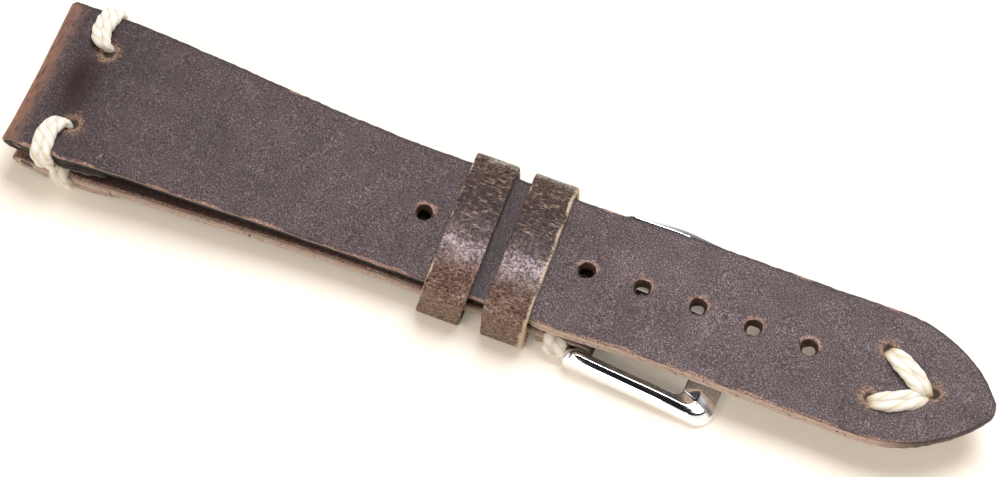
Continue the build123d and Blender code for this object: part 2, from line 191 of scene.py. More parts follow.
def make_mesh(name, points, faces, values=None, uv=None):
    """Object from points in millimetres and faces, its doubles merged and its faces turned outwards."""
    used = np.unique(np.concatenate([np.ravel(face) for face in faces]))
    fresh = np.zeros(len(points), int)
    fresh[used] = np.arange(len(used))
    mesh = bpy.data.meshes.new(name)
    mesh.from_pydata((points[used] * MM).tolist(), [], [fresh[list(face)].tolist() for face in faces])
    mark(mesh, **{label: data[used] for label, data in (values or {}).items()})
    if uv is not None:
        mesh.uv_layers.new(name="lay").data.foreach_set("uv", np.asarray(uv, np.float32).ravel())
    work = bmesh.new()
    work.from_mesh(mesh)
    bmesh.ops.remove_doubles(work, verts=work.verts, dist=MERGED * MM)
    bmesh.ops.dissolve_degenerate(work, edges=work.edges, dist=SLIVER * MM)
    bmesh.ops.recalc_face_normals(work, faces=work.faces)
    work.to_mesh(mesh)
    work.free()
    mesh.shade_smooth()
    piece = bpy.data.objects.new(name, mesh)
    bpy.context.scene.collection.objects.link(piece)
    return piece


def read(piece, what="co"):
    """Points in millimetres, or normals, of a piece."""
    data = np.empty(len(piece.data.vertices) * 3)
    piece.data.vertices.foreach_get(what, data)
    return data.reshape(-1, 3) / (MM if what == "co" else 1)


def value_of(piece, label):
    """The numbers that mark stored under this name."""
    data = np.empty(len(piece.data.vertices), np.float32)
    piece.data.attributes[label].data.foreach_get("value", data)
    return data


def shift(piece, move):
    """Moves each point by its own vector in millimetres, and none of them below the table."""
    spot = read(piece) + move
    spot[:, 2] = np.maximum(spot[:, 2], ON_TABLE)
    piece.data.vertices.foreach_set("co", (spot * MM).ravel())
    piece.data.update()


# Leather bands

def columns_at(half, inner, outer):
    """Places across the band for each half width: the inner ones stay put where there is room, and the
    outer ones share what is left up to the edge."""
    margin = 1.2
    room = np.minimum(1, half / (inner[-1] + margin))[:, None]
    middle = inner[None, :] * room
    side = middle[:, -1:] + (half[:, None] - middle[:, -1:]) * outer[None, :]
    return np.hstack([-side[:, ::-1], middle, side])


def edge_profile(thickness):
    """A cut side as seen along the band: how far out, how deep and how cut each of its lines is. A quarter
    circle leads from the grain side, a straight middle down, and a quarter ellipse to the flesh side."""
    fit = np.minimum(1, thickness / (EDGE + UNDER + 0.05))
    turn = np.linspace(0, pi / 2, 5)[1:]
    middle = thickness - fit * (EDGE + UNDER)
    profile = [(EDGE * sin(a), fit * EDGE * (1 - cos(a)), cut) for a, cut in zip(turn, (0, 0, 0.3, 1))]
    profile += [(EDGE, fit * EDGE + middle * share, 1) for share in (0.25, 0.5, 0.75, 1)]
    return profile + [(EDGE - UNDER * (1 - cos(a)), thickness - fit * UNDER * (1 - sin(a)), 1) for a in turn]


def band(name, place, thick, u, half, lean, inner, outer, holes=(), caps=(0, -1)):
    """Thick leather band over (u, v), v running from -half to half. Its grain and flesh sides are grids,
    its cut sides are a rounded profile carried along the outline, and its holes are walled between the two
    grids. place(u, v, depth) gives points at that share of the thickness below the grain side, thick(u)
    the thickness, and lean the outline's normal at each row."""
    thickness = np.maximum(thick(u), THINNEST)
    grid_v = columns_at(np.clip(half - EDGE * lean[:, 1], 0, None), inner, outer)
    grid_u = np.repeat((u - EDGE * lean[:, 0])[:, None], grid_v.shape[1], 1)
    keep = np.ones((len(u) - 1, grid_v.shape[1] - 1), bool)
    for warp, _, (i0, i1, j0, j1) in holes:
        grid_u, grid_v = warp(grid_u, grid_v)
        keep[i0:i1, j0:j1] = False
    parts, marks, faces = [], [], []

    def add_points(u, v, depth, cut, wall):
        points = place(u, v, depth)
        shape = points.shape[:-1]
        ids = np.arange(np.prod(shape)).reshape(shape) + sum(len(part) for part in parts)
        parts.append(points.reshape(-1, 3))
        marks.append(np.stack([np.full(ids.size, cut), np.full(ids.size, wall),
                               np.broadcast_to(depth, shape).ravel()], 1))
        return ids

    def join(lines):
        faces.extend(quads_of(np.stack(lines, 1)).reshape(-1, 4).tolist())

    top = add_points(grid_u, grid_v, 0 * grid_u, 0, GRAIN)
    low = add_points(grid_u, grid_v, 0 * grid_u + 1, 1, FLESH)
    for ids in (top, low):
        faces.extend(quads_of(ids)[keep].tolist())
    sides = []
    for side, j in ((-1, 0), (1, -1)):
        lines = [top[:, j]]
        for off, deep, cut in edge_profile(thickness):
            edge_v = side * np.clip(half - (EDGE - off) * lean[:, 1], 0, None)
            lines.append(add_points(u - (EDGE - off) * lean[:, 0], edge_v, deep / thickness, cut, SIDE))
        sides.append(lines + [low[:, j]])
        join(sides[-1])
    for row in caps:
        join([top[row], low[row]])
        faces.extend([int(line[row]) for line in lines] for lines in sides)
    for _, rings, (i0, i1, j0, j1) in holes:
        rim = ([(i, j0) for i in range(i0, i1)] + [(i1, j) for j in range(j0, j1)]
               + [(i, j1) for i in range(i1, i0, -1)] + [(i0, j) for j in range(j1, j0, -1)])
        rim_i, rim_j = np.array(rim + rim[:1]).T
        lines = [top[rim_i, rim_j]]
        for ring_u, ring_v, depth in rings(grid_u[rim_i, rim_j][:-1], grid_v[rim_i, rim_j][:-1]):
            ids = add_points(ring_u, ring_v, 0 * ring_u + depth, 1, BORE)
            lines.append(np.r_[ids, ids[:1]])
        join(lines + [low[rim_i, rim_j]])
    marks = dict(zip(("cut", "wall", "depth"), np.vstack(marks).T))
    return make_mesh(name, np.vstack(parts), faces, marks)


def track(grain, flesh, start=0.0):
    """From paired grain and flesh lines seen from the side: a function from a place along the band and a
    depth to a point between the two lines, a function to the thickness there, and the grain line's length
    from start up to each of its points, which a place along the band is measured by."""
    length = lengths(grain) + start
    gap = np.linalg.norm(grain - flesh, axis=1)

    def spot(u, depth):
        return [np.interp(u, length, grain[:, k]) * (1 - depth) + np.interp(u, length, flesh[:, k]) * depth
                for k in (0, 1)]

    def thick(u):
        return np.interp(u, length, gap)
    return spot, thick, length


def lengthwise(spot):
    """The place function of a band that runs along the strap."""
    def place(u, v, depth):
        x, z = spot(u, depth)
        return np.stack([x + FOLD_X, v, z], -1)
    return place


def fold_track(fold, low):
    """Side view of a folded end from the flap's edge, round the nose and the tunnel, to the upper leather:
    grain line and flesh line, paired point by point."""
    centre = low - SLIT - FLAP + NOSE
    flap_x = fold + steps(FLAP_LONG, (FLAP_LONG - FLAP_PARED, 8), (TUNNEL_IN + FLAP_MEET[1], 30))
    paring = ramp(flap_x - fold - FLAP_LONG + FLAP_PARED, FLAP_PARED)
    grain = np.stack([flap_x, low - SLIT - FLAP * (1 - 0.85 * paring)], 1)
    flesh = np.stack([flap_x, np.full_like(flap_x, low - SLIT)], 1)
    nose = arc((fold + NOSE, centre), NOSE, np.radians(np.linspace(-90, -270, 61)))
    around = np.vstack([grain[-1:], nose, [[fold + TUNNEL_IN + SLIT_MEET[1], low + LEATHER]]])
    share = np.linspace(0, 1, 49)[1:]
    length = lengths(around)
    grain_turn = np.stack([np.interp(share * length[-1], length, around[:, k]) for k in (0, 1)], 1)
    bore = np.radians(-FLAP_MEET[0] - (360 - FLAP_MEET[0] + SLIT_MEET[0]) * share)
    flesh_turn = arc((fold + TUNNEL_IN, centre), TUNNEL, bore)
    return np.vstack([grain, grain_turn]), np.vstack([flesh, flesh_turn])


def plan_half(x):
    """Half width of either strap piece, x millimetres from its own fold."""
    return eased(x, (BEFORE, *TAPER, BEYOND), (LUG_HALF, LUG_HALF, TAIL_HALF, TAIL_HALF), TAPER_EASE)


def tail_low(x):
    """Height of the tail piece's flesh side: level at the fold, gently down, level, up at the tip."""
    reach, rise, ease = TURN_UP
    return eased(x, (BEFORE, *DROP, TIP - reach, TIP + reach),
                 (LUG_LOW, LUG_LOW, LONG_LOW, LONG_LOW, LONG_LOW + rise), (DROP_EASE, DROP_EASE, ease))


def punched(centre, rows, columns):
    """A punched round hole: rows and columns are the first and last lines of the grid round it. Square
    rings of the grid turn into circles near it, and its rim rounds over into the wall."""
    def warp(u, v):
        du = u - centre
        square = np.maximum(np.abs(du), np.abs(v))
        true = np.maximum(np.hypot(du, v), 1e-9)
        share = fall(square - HOLE_RIM, HOLE_REACH - HOLE_RIM)
        pull = np.where(square < HOLE_REACH, 1 - share + share * square / true, 1)
        return centre + du * pull, v * pull

    def rings(u, v):
        """Each ring's share of the rim and its depth: wide at the top, narrow within, torn below."""
        least = HOLE_RADIUS / HOLE_RIM
        for share, depth in ((0.95, 0.02), (0.89, 0.06), (0.82, 0.12), (0.98 * least, 0.2),
                             (0.83 * least, 0.32), (0.8 * least, 0.5), (0.9 * least, 0.62),
                             (0.95 * least, 0.82), (0.87, 0.94), (0.93, 1.0)):
            yield centre + (u - centre) * share, v * share, depth
    return warp, rings, (*rows, *columns)


def slotted(start, end, rows, columns):
    """The tang's slot: straight sides, round at both ends."""
    ease = 1.6

    def warp(u, v):
        over = np.maximum(start + SLOT_HALF - u, u - end + SLOT_HALF)
        square = np.maximum(over, np.abs(v))
        true = np.maximum(np.hypot(over, v), 1e-9)
        share = np.where(over > 0, fall(square - SLOT_HALF, ease), 0)
        pull = 1 - share + share * square / true
        back = np.where(u < (start + end) / 2, -1, 1)
        return u + back * over * (pull - 1), v * pull

    def rings(u, v):
        for shrink, depth in ((0.04, 0.05), (0.07, 0.12), (0.07, 0.5), (0.07, 0.88), (0.04, 0.95)):
            yield u, v - np.sign(v) * np.minimum(shrink, np.abs(v)), depth
    return warp, rings, (*rows, *columns)


HOLE_LINES, SLOT_LINES = 8, 10                  # steps of the grid across a hole and across the slot
HOLE_SIDE, SLOT_SIDE = 5, 4                     # and on each side of them
ROW = 0.1                                       # step of the side view's level stretch
OUTER = 1 - (1 - np.linspace(0, 1, 17)[1:]) ** 1.25


def tail_band():
    """The tail piece: a fold, eight punched holes, and a pointed tip of two arcs and a small round."""
    grain, flesh = fold_track(0.0, LUG_LOW)
    start = grain[-1, 0] - lengths(grain)[-1]
    main_x = np.arange(grain[-1, 0] + ROW, TIP + 1, ROW)
    grain = np.vstack([grain, np.stack([main_x, tail_low(main_x) + LEATHER], 1)])
    flesh = np.vstack([flesh, np.stack([main_x, tail_low(main_x)], 1)])
    spot, thick, length = track(grain, flesh, start)
    runs = [(0.0, 70), (14.0, 50), (41.0, 80), (HOLE_FIRST - HOLE_REACH, 16)]
    first_column = len(OUTER) + HOLE_SIDE
    holes = []
    for centre in HOLE_FIRST + HOLE_PITCH * np.arange(HOLE_COUNT):
        runs.append((centre - HOLE_RIM, HOLE_SIDE))
        first = sum(number for _, number in runs)
        holes.append(punched(centre, (first, first + HOLE_LINES), (first_column, first_column + HOLE_LINES)))
        runs += [(centre + HOLE_RIM, HOLE_LINES), (centre + HOLE_PITCH / 2, HOLE_SIDE)]
    straight = steps(start, *runs, (OGIVE_X, 20))
    meet = acos((SIDE_RADIUS - TAIL_HALF) / (SIDE_RADIUS - TIP_ROUND))
    side_turn = np.linspace(0, meet, 50)[1:]
    tip_turn = np.linspace(meet, pi / 2, 26)[1:]
    u = np.r_[straight, OGIVE_X + SIDE_RADIUS * np.sin(side_turn),
              TIP - TIP_ROUND + TIP_ROUND * np.sin(tip_turn)]
    half = np.r_[plan_half(np.interp(straight, length, grain[:, 0])),
                 TAIL_HALF - SIDE_RADIUS * (1 - np.cos(side_turn)), TIP_ROUND * np.cos(tip_turn)]
    angle = np.r_[0 * straight, side_turn, tip_turn]
    lean = np.stack([np.sin(angle), np.cos(angle)], 1)
    inner = steps(-HOLE_REACH, (-HOLE_RIM, HOLE_SIDE), (HOLE_RIM, HOLE_LINES), (HOLE_REACH, HOLE_SIDE))
    return band("tail_leather", lengthwise(spot), thick, u, half, lean, inner, OUTER, holes, caps=(0,))


def buckle_band():
    """The buckle piece: a fold, and at the other end a loop round the bar with a slot for the tang."""
    grain, flesh = fold_track(SHORT_FOLD, SHORT_LOW)
    start = grain[-1, 0] - lengths(grain)[-1]
    main_x = np.arange(grain[-1, 0] + ROW, LOOP_FLAP_X, ROW)
    bar = (BAR_X - FOLD_X, BAR_Z)
    rise = np.linspace(0, 1, 40, endpoint=False)[:, None]
    back = np.linspace(0, 1, 40)[1:, None]

    def whole(before, height, turn, radius, low_end):
        """The fold, the level stretch, the rise to the loop, its turn and the way back under the strap."""
        bend = arc(bar, radius, np.radians(np.linspace(*turn, 60)))
        corner, end = np.array((LOOP_FLAP_X, height)), np.array((LOOP_FLAP_X, low_end))
        level = np.stack([main_x, 0 * main_x + height], 1)
        return np.vstack([before, level, corner + (bend[0] - corner) * rise, bend,
                          bend[-1] + (end - bend[-1]) * back])
    grain = whole(grain, SHORT_LOW + LEATHER, LOOP_TURN_OUT, LOOP_OUT, BAR_Z - LOOP_OUT)
    flesh = whole(flesh, SHORT_LOW, LOOP_TURN_IN, LOOP_IN, SHORT_LOW - SLIT)
    spot, thick, length = track(grain, flesh, start)
    top_turn = length[-1] - (bar[0] - LOOP_FLAP_X) - LOOP_OUT * radians(LOOP_TURN_OUT[0] - LOOP_TURN_OUT[1])
    slot_top = top_turn - (bar[0] - SLOT_END)
    slot_low = length[-1] - (SLOT_END - LOOP_FLAP_X)
    runs = [(SHORT_FOLD, 70), (16.0, 50), (44.0, 60), (LOOP_FLAP_X - 4, 24), (slot_top, 22)]
    first = sum(number for _, number in runs)
    slot_runs = [(slot_top + SLOT_HALF, 6), (slot_low - SLOT_HALF, 40), (slot_low, 6)]
    last = first + sum(number for _, number in slot_runs)
    u = steps(start, *runs, *slot_runs, (length[-1], 12))
    half = plan_half(np.interp(u, length, grain[:, 0]) - SHORT_FOLD)
    lean = np.stack([0 * u, 0 * u + 1], 1)
    inner = steps(-HOLE_REACH, (-SLOT_HALF, SLOT_SIDE), (SLOT_HALF, SLOT_LINES), (HOLE_REACH, SLOT_SIDE))
    column = len(OUTER) + SLOT_SIDE
    slot = slotted(slot_top, slot_low, (first, last), (column, column + SLOT_LINES))
    return band("buckle_leather", lengthwise(spot), thick, u, half, lean, inner, OUTER, [slot])


# What hand work and wear did to the leather

# Thread holes at both folds and of the V at the tip, all as X and Y in the frame
TAIL_HOLES = ((-52.0, -5.3), (-52.2, 5.1))
SHORT_HOLES = ((-51.6, -5.7), (-51.6, 5.7))
TIP_HOLES = ((45.4, 3.15), (45.3, -3.3), (51.9, -0.2))
TIP_RIMS = ((45.0, 4.0), (44.9, -3.7), (52.6, -0.4))          # leather raised just behind these
# along these lines the grain side is also darkened, part stain and part painted shade
TROUGH_X = {"tail": -53.9, "short": -53.2}                    # the leather sinks in along these lines
KEEPERS_END = 7.0
# where the burnished far edge is scuffed, and where the grain side is nicked
SCUFFS = ((33.5, 8.2), (44.5, 7.9), (10.0, 8.2), (-30.0, 9.0))
NICKS = ((-47.0, -7.9), (-47.3, -8.3), (-43.5, -4.0))


def tip_gap(x, y):
    """How far inside the tail piece's outline a point lies, by its straight sides or the tip's arcs."""
    straight = plan_half(x) - np.abs(y)
    round_side = SIDE_RADIUS - np.hypot(x - OGIVE_X, np.abs(y) + SIDE_RADIUS - TAIL_HALF)
    return np.where(x > OGIVE_X, round_side, straight)


def near(place, spots, reach):
    """1 at the nearest of the spots, falling to 0 at reach."""
    return np.max([fall(np.hypot(place[:, 0] - x, place[:, 1] - y), reach) for x, y in spots], axis=0)


def work_lug(piece, place, move, holes, fold, grain_z, thread_x, askew):
    """Pulls the leather in round the two stitches of a fold: a trough from hole to hole, a dent at each
    hole, and a waist in each edge where the thread turns round it. askew shifts the fold at its near end,
    middle and far end, as it was cut; the tunnel's near end is crushed."""
    x, y, z = place.T
    skin = np.clip(1 - value_of(piece, "depth") * 1.15, 0, 1) * (z > grain_z - LEATHER / 2)
    line = holes[0][0] - 1.35 + 0.25 * np.cos(y * 0.5) + 0.1 * bumpy(place, 6.0, 71)
    trough = bell(x - line, 1.15) * fall(np.abs(y) - 5.0, 4.6)
    swell = bell(x - line - 3.2, 1.5) * fall(np.abs(y), 9.0)
    dent = 0.34 * near(place, holes, 1.9) + 0.14 * near(place, holes, 3.4)
    waist = bell(x - thread_x, 1.1) * fall(LUG_HALF - np.abs(y), 3.0)
    crushed = 0.32 * fall(LUG_HALF + y, 3.5) * fall(x - fold, 4.5)
    move[:, 0] += np.interp(y, (-LUG_HALF, 0, LUG_HALF), askew) * fall(x - fold, 9.0)
    move[:, 1] -= np.sign(y) * (x < fold + FLAP_LONG) * 0.28 * waist
    move[:, 2] += crushed * (grain_z - z) + skin * (0.05 * swell - 0.36 * trough - dent - 0.16 * waist)


def roughen(piece, place, move, where, blade, fibre, ridge, belly, seed):
    """Raw cut sides: the blade's line wanders a little, its fibres stand out, and layers and the middle of
    the thickness stand out between the corners. blade, fibre, ridge and belly are heights in millimetres."""
    depth, side = value_of(piece, "depth"), (value_of(piece, "wall") == SIDE) * where
    rough = blade * bumpy(place * (1, 1, 0), 5.0, seed) + fibre * bumpy(place, 0.9, seed + 1)
    layers = ridge * bumpy(place, (0.8, 0.8, 0.25), seed + 2) + belly * np.sin(depth * pi)
    between = (depth > 0.05) * (depth < 0.95)
    move += read(piece, "normal") * (side * (rough + between * layers))[:, None]


def shape_tail(piece):
    """The tail piece as made by hand and worn: its wavy lie, slanting near side, pared and bowed tip, sunk
    holes, and what the material reads of wear, dye, painted shade and torn leather."""
    place = read(piece)
    x, y, z = place.T
    along = x - FOLD_X
    depth, wall = value_of(piece, "depth"), value_of(piece, "wall")
    flat = place * (1, 1, 0)
    hole_x = FOLD_X + HOLE_FIRST + HOLE_PITCH * np.arange(HOLE_COUNT)
    skin = np.clip(1 - depth * 1.2, 0, 1) * (z > tail_low(along) + LEATHER / 2)
    to_keepers = ramp(KEEPERS_END - x, 1.5)
    move = np.zeros_like(place)
    work_lug(piece, place, move, TAIL_HOLES, FOLD_X, LUG_LOW + LEATHER, -53.5, (0.0, -0.1, -0.5))
    roughen(piece, place, move, True, 0.014, 0.012, 0.02, 0.03, 44)
    # wavy where no keeper holds it, and drawn in round every hole
    free = ramp(np.abs(along - 58) - 7.5, 3) * ramp(along - 9, 6)
    move[:, 2] += free * (0.055 * bumpy(flat, 17.0, 41) + 0.03 * bumpy(flat, 6.0, 42))
    sunk = 0.5 * near(place, TIP_HOLES, 1.25) + 0.09 * near(place, [(centre, 0.0) for centre in hole_x], 2.3)
    raised = 0.16 * near(place, TIP_RIMS, 1.1) + 0.012 * bumpy(flat, (1.4, 2.4, 1), 43)
    move[:, 2] += skin * (raised - sunk)
    # the near side is cut slanting, its lower edge 0.5 mm further in, as far as the keepers' end
    inward = 0.5 * to_keepers * ramp(x + 51.5, 2)
    move[:, 1] += inward * depth * fall(plan_half(along) + y, 2.2) * (y < 0)
    # the very tip is pared thinner from below
    move[:, 2] += 1.2 * depth * fall(TIP - along, 13.0) * (z > LONG_LOW - 0.25)
    # the free end lies bowed to the far side, by 0.4 mm at most
    move[:, 1] += 0.4 * (1 - fall(x - 8, 14.0)) * fall(x - 38, 30.0)
    ragged = np.stack([bumpy(place, 1.1, 47), bumpy(place, 1.1, 48)], 1)
    move[:, :2] += (wall == BORE)[:, None] * 0.04 * ragged
    shift(piece, move)
    scuffs = near(place, SCUFFS, 2.4)
    near_edge = (0.66 + 0.3 * bumpy(flat, 3.5, 49) + 0.15 * (x > 6)) * (along < TIP - 5.5)
    edge_share = np.where(y < 0, near_edge, 0.1 + 0.9 * scuffs)
    hole_gap = np.min([np.hypot(x - centre, y) for centre in hole_x], axis=0) - HOLE_RADIUS
    fuzz = near(place, NICKS, 0.45) + fall(hole_gap, 1.2) * (0.52 + 0.4 * np.clip(y / 0.8, -1, 1))
    worn = np.clip(fall(tip_gap(along, y), 0.6) * edge_share + fuzz, 0, 1)
    rubbed = ramp(along - TIP + 12, 5)
    torn = np.clip(near(place, TIP_HOLES, 2.0) + near(place, TAIL_HOLES, 2.1), 0, 1)
    # the near cut side is black as far as the keepers' end, part edge dye and part painted shade, under a
    # rubbed upper corner
    dyed = (y < 0) * (wall == SIDE) * ramp(depth - 0.2, 0.12) * to_keepers
    # between the keepers the grain side is darker, part unrubbed wax and part painted shade, and a little
    # towards the fold
    unrubbed_and_shaded = np.maximum(fall(np.abs(x + 0.75) - 0.8, 1.6), 0.4 * fall(x + 54, 15.0))
    mark(piece.data,
         burnish=fall(tip_gap(along, y), 0.5) * np.where(y > 0, 1 - scuffs, rubbed), flesh=wall == FLESH,
         bore=wall == BORE, worn=worn * (z > tail_low(along)), torn=torn * skin,
         trough=bell(x - TROUGH_X["tail"], 1.7) * fall(np.abs(y), 8.5) * skin, fold=fall(along, 3.0),
         dyed=dyed * np.clip((along - 0.5) / 3, 0.75, 1), kept=unrubbed_and_shaded * (wall != BORE))


def shape_short(piece):
    """The buckle piece as made by hand and worn, with a paler strip along its near edge painted as light,
    and its grain side under the tail painted dark as shade.
    """
    place = read(piece)
    x, y, z = place.T
    along = x - FOLD_X - SHORT_FOLD
    depth, wall = value_of(piece, "depth"), value_of(piece, "wall")
    move = np.zeros_like(place)
    fold = FOLD_X + SHORT_FOLD
    work_lug(piece, place, move, SHORT_HOLES, fold, SHORT_LOW + LEATHER, -51.8, (-0.6, -0.2, 0.0))
    roughen(piece, place, move, x < 8, 0.018, 0.014, 0.022, 0.0, 54)
    shift(piece, move)
    skin = np.clip(1 - depth * 1.2, 0, 1)
    # a paler strip along the near edge: painted light
    rubbed = fall(plan_half(along) + y - 0.3, 1.4) * (y < 0) * (x > -51) * (x < 9)
    # under the tail the grain side is darkened almost to its edges, and the near cut side's upper part too:
    # painted shade
    mark(piece.data,
         worn=np.maximum(rubbed, 0.25 * fall(plan_half(along) - np.abs(y), 0.5)), flesh=wall == FLESH,
         bore=(wall == BORE) & (x < 0), torn=near(place, SHORT_HOLES, 2.0) * skin,
         burnish=0.85 * fall(0.5 - plan_half(along) + np.abs(y), 0.5) * (x - FOLD_X > 4),
         trough=bell(x - TROUGH_X["short"], 1.7) * fall(np.abs(y), 8.5) * skin, fold=fall(along, 3.0),
         dyed=0.6 * (wall == SIDE) * (y < 0) * fall(depth, 0.6), kept=0 * x)


# Keepers

KEEPERS = {"free_keeper": -4.4, "fixed_keeper": 2.95}          # the middle of each, as X in the frame
KEEPER_HALF = 2.65                 # half width of a keeper, along the strap
WINDOW_HALF = 8.8                  # its window: half width, floor, top and corners
WINDOW_LOW = 1.0
WINDOW_HIGH = 5.25
WINDOW_ROUND = 0.3
KEEPER_LEATHER = 0.9               # thickness
KEEPER_TOP = WINDOW_HIGH + KEEPER_LEATHER
KEEPER_ROUND = 1.5
KEEPER_SKEW = (0.45, -0.05)        # the top's shift along the strap: at the middle, and for each mm across
KEEPER_BULGE = 0.7                 # the near wall stands out by this much at its foot


def keeper_band(name, middle, foot):
    """A keeper: a thin band bent round both pieces, its ends meeting underneath. Its side view is a
    rounded rectangle outside and a square-cornered one inside. foot is how far the near wall's foot has
    slipped towards the tip."""
    turn = np.linspace(0, pi / 2, 16)
    share = np.linspace(0, 1, 30)[1:-1, None]

    def ring(half, low, high, radius):
        """Rounded rectangle from the middle of its underside, round the far side, and back."""
        bend = arc((0, 0), radius, turn)
        lower = np.stack([half - radius + bend[:, 1], low + radius - bend[:, 0]], 1)
        right = np.vstack([[[0.05, low]], lower, bend + (half - radius, high - radius)])
        left = right[::-1] * (-1, 1)

        def between(a, b, every=1):
            return a + (b - a) * share[::every]
        last = len(turn)
        return np.vstack([right[:1], between(right[0], right[1]), right[1:last + 1],
                          between(right[last], right[last + 1], 4), right[last + 1:],
                          between(right[-1], left[0]), left[:last], between(left[last - 1], left[last], 4),
                          left[last:-1], between(left[-2], left[-1]), left[-1:]])
    grain = ring(WINDOW_HALF + KEEPER_LEATHER, 0.0, KEEPER_TOP, KEEPER_ROUND)
    flesh = ring(WINDOW_HALF, WINDOW_LOW, WINDOW_HIGH, WINDOW_ROUND)
    spot, thick, length = track(grain, flesh)

    def place(u, v, depth):
        y, z = spot(u, depth)
        rise = ramp(z, KEEPER_TOP)
        slip = (1 - rise) * ramp(-y, 8)
        skew = (KEEPER_SKEW[0] + KEEPER_SKEW[1] * y) * rise + foot * slip
        return np.stack([middle + v + skew, y - KEEPER_BULGE * slip, z], -1)
    u = np.unique(np.r_[length, np.linspace(0, length[-1], 150)])
    u = u[np.r_[True, np.diff(u) > 0.03]]
    half = np.full(len(u), KEEPER_HALF)
    lean = np.stack([0 * u, 0 * u + 1], 1)
    inner = np.linspace(-1.2, 1.2, 9)
    return band(name, place, thick, u, half, lean, inner, np.linspace(0, 1, 5)[1:])


def shape_keeper(piece, middle, seed, dye):
    """A keeper's wandering edges, creased bends and worn rims. dye is how black its tipward edge is."""
    place = read(piece)
    x, y, z = place.T
    wall, depth = value_of(piece, "wall"), value_of(piece, "depth")
    lean = x - middle - (KEEPER_SKEW[0] + KEEPER_SKEW[1] * y) * ramp(z, KEEPER_TOP)
    tipward, line = lean > 0, place * (0, 1, 1)
    move = np.zeros_like(place)
    wander = 0.03 * bumpy(line + np.sign(lean)[:, None] * 40, 5.0, seed)
    move[:, 0] += np.sign(lean) * (np.abs(lean) > 1.5) * wander
    bend = fall(np.abs(np.abs(y) - 8.2), 2.2) * (z > 3)
    creases = bend * bumpy(place, (2.4, 0.7, 0.7), seed + 2)
    ripple = 0.012 * (bumpy(place, (4.0, 2.6, 2.6), seed + 1) + creases)
    skin = np.clip(1 - depth * 1.3, 0, 1) * (wall == GRAIN)
    move += read(piece, "normal") * (ripple * skin)[:, None]
    shift(piece, move)
    rub = 0.65 + 0.3 * bumpy(line, 2.5, seed + 3) + 0.5 * tipward
    rim = fall(KEEPER_HALF - np.abs(lean), 0.55 + 0.25 * tipward)
    mark(piece.data, worn=np.clip(rim * rub, 0, 1) * (1 - dye * tipward),
         dyed=dye * (wall == SIDE) * tipward)


# Buckle frame

EAR_ROUND = 1.6                    # the ears reach so far behind the bar
EAR_NARROWED = 0.95                # an ear's end is this much narrower on each side
OUTER_HALF = 10.5                  # half width outside, at the bar
OUTER_FLARE = 0.45                 # and this much more at the front
INNER_HALF = 8.55                  # half width inside
FRONT_X = 29.5                     # the front bar's outer side
WINDOW_X = 25.3                    # its inner side
RIDGE_X = 27.2                     # and its ridge, down to which the frame falls
OUTER_CORNER = 2.2                 # radii of the corners
WINDOW_CORNER = 1.1
EAR_HIGH = 3.1                     # height at the bar, and at the front
EAR_CROWN = (0.1, 3.0)             # the top swells over the bar: height and reach
FRONT_HIGH = 2.3
SIDE_WIDE = OUTER_HALF - INNER_HALF
LIFT = (0.45, 19.0, 6.3)           # a side bar's arched underside: its height, middle and half length
BULGE = (0.4, 18.5, 6.5)           # the far side bar stands out
CORNER_DROP = 0.17                 # the front corners fall away by this share of their height
DROP_X, DROP_Y = (22.5, 6.0), (7.2, 2.8)                 # from here on, over that reach
NOTCH = (1.9, 0.97, 9)             # where the tang's point rests: height, half width and its sides' slope
PIN_HOLE = 0.41                    # radius and depth of the holes for the pins
PIN_HOLE_DEEP = 1.1
FRAME_SKEW = 0.045        # the front stands this share of its distance from the bar to the near side
# One cross-section of a side bar: shares of its width, from the outside in, and of its height
SIDE_SECTION = ((0.50, 0.0), (0.16, 0.0), (0.04, 0.03), (0.0, 0.12), (0.01, 0.26), (0.035, 0.44),
                (0.075, 0.62), (0.125, 0.765), (0.16, 0.83), (0.20, 0.876), (0.25, 0.898), (0.31, 0.92),
                (0.38, 0.945), (0.45, 0.968), (0.505, 0.985), (0.522, 0.985), (0.545, 0.977), (0.60, 0.960),
                (0.70, 0.930), (0.84, 0.888), (0.93, 0.860), (0.985, 0.80), (1.0, 0.68), (1.0, 0.14),
                (0.96, 0.03))
# and one of the front bar, whose long outer slope meets the inner one in a ridge
FRONT_SECTION = ((0.50, 0.0), (0.06, 0.0), (0.01, 0.03), (0.0, 0.12), (0.0, 0.32), (0.015, 0.42),
                 (0.05, 0.47), (0.28, 0.72), (0.50, 0.965), (0.56, 1.0), (0.64, 0.98), (0.78, 0.93),
                 (0.90, 0.88), (0.97, 0.82), (1.0, 0.70), (1.0, 0.2), (0.98, 0.04), (0.92, 0.0))
CORNER_BLEND = (0.74, 0.08)        # a corner's shares from and over which the one turns into the other
# The side section's inner slope starts at this crest, and keeps one steepness however low the frame
INNER_CREST = (0.52, 0.985)
SLOPE_FOOT = 0.56
SLOPE_DEEPEST = -0.3
STEEPEST = 1.6


def pin_holes():
    """The two blind holes for the bar's pins, as a cutter: a cylinder through the inner face of each ear."""
    drill = bmesh.new()
    beyond = 1.0
    radius = PIN_HOLE * MM
    for side in (-1, 1):
        spot = Vector((BAR_X, side * (INNER_HALF + (PIN_HOLE_DEEP - beyond) / 2), BAR_Z)) * MM
        bmesh.ops.create_cone(drill, cap_ends=True, segments=32, radius1=radius, radius2=radius,
                              depth=(PIN_HOLE_DEEP + beyond) * MM,
                              matrix=Matrix.Translation(spot) @ Matrix.Rotation(pi / 2, 4, "X"))
    mesh = bpy.data.meshes.new("pin_holes")
    drill.to_mesh(mesh)
    drill.free()
    cutter = bpy.data.objects.new("pin_holes", mesh)
    bpy.context.scene.collection.objects.link(cutter)
    return cutter


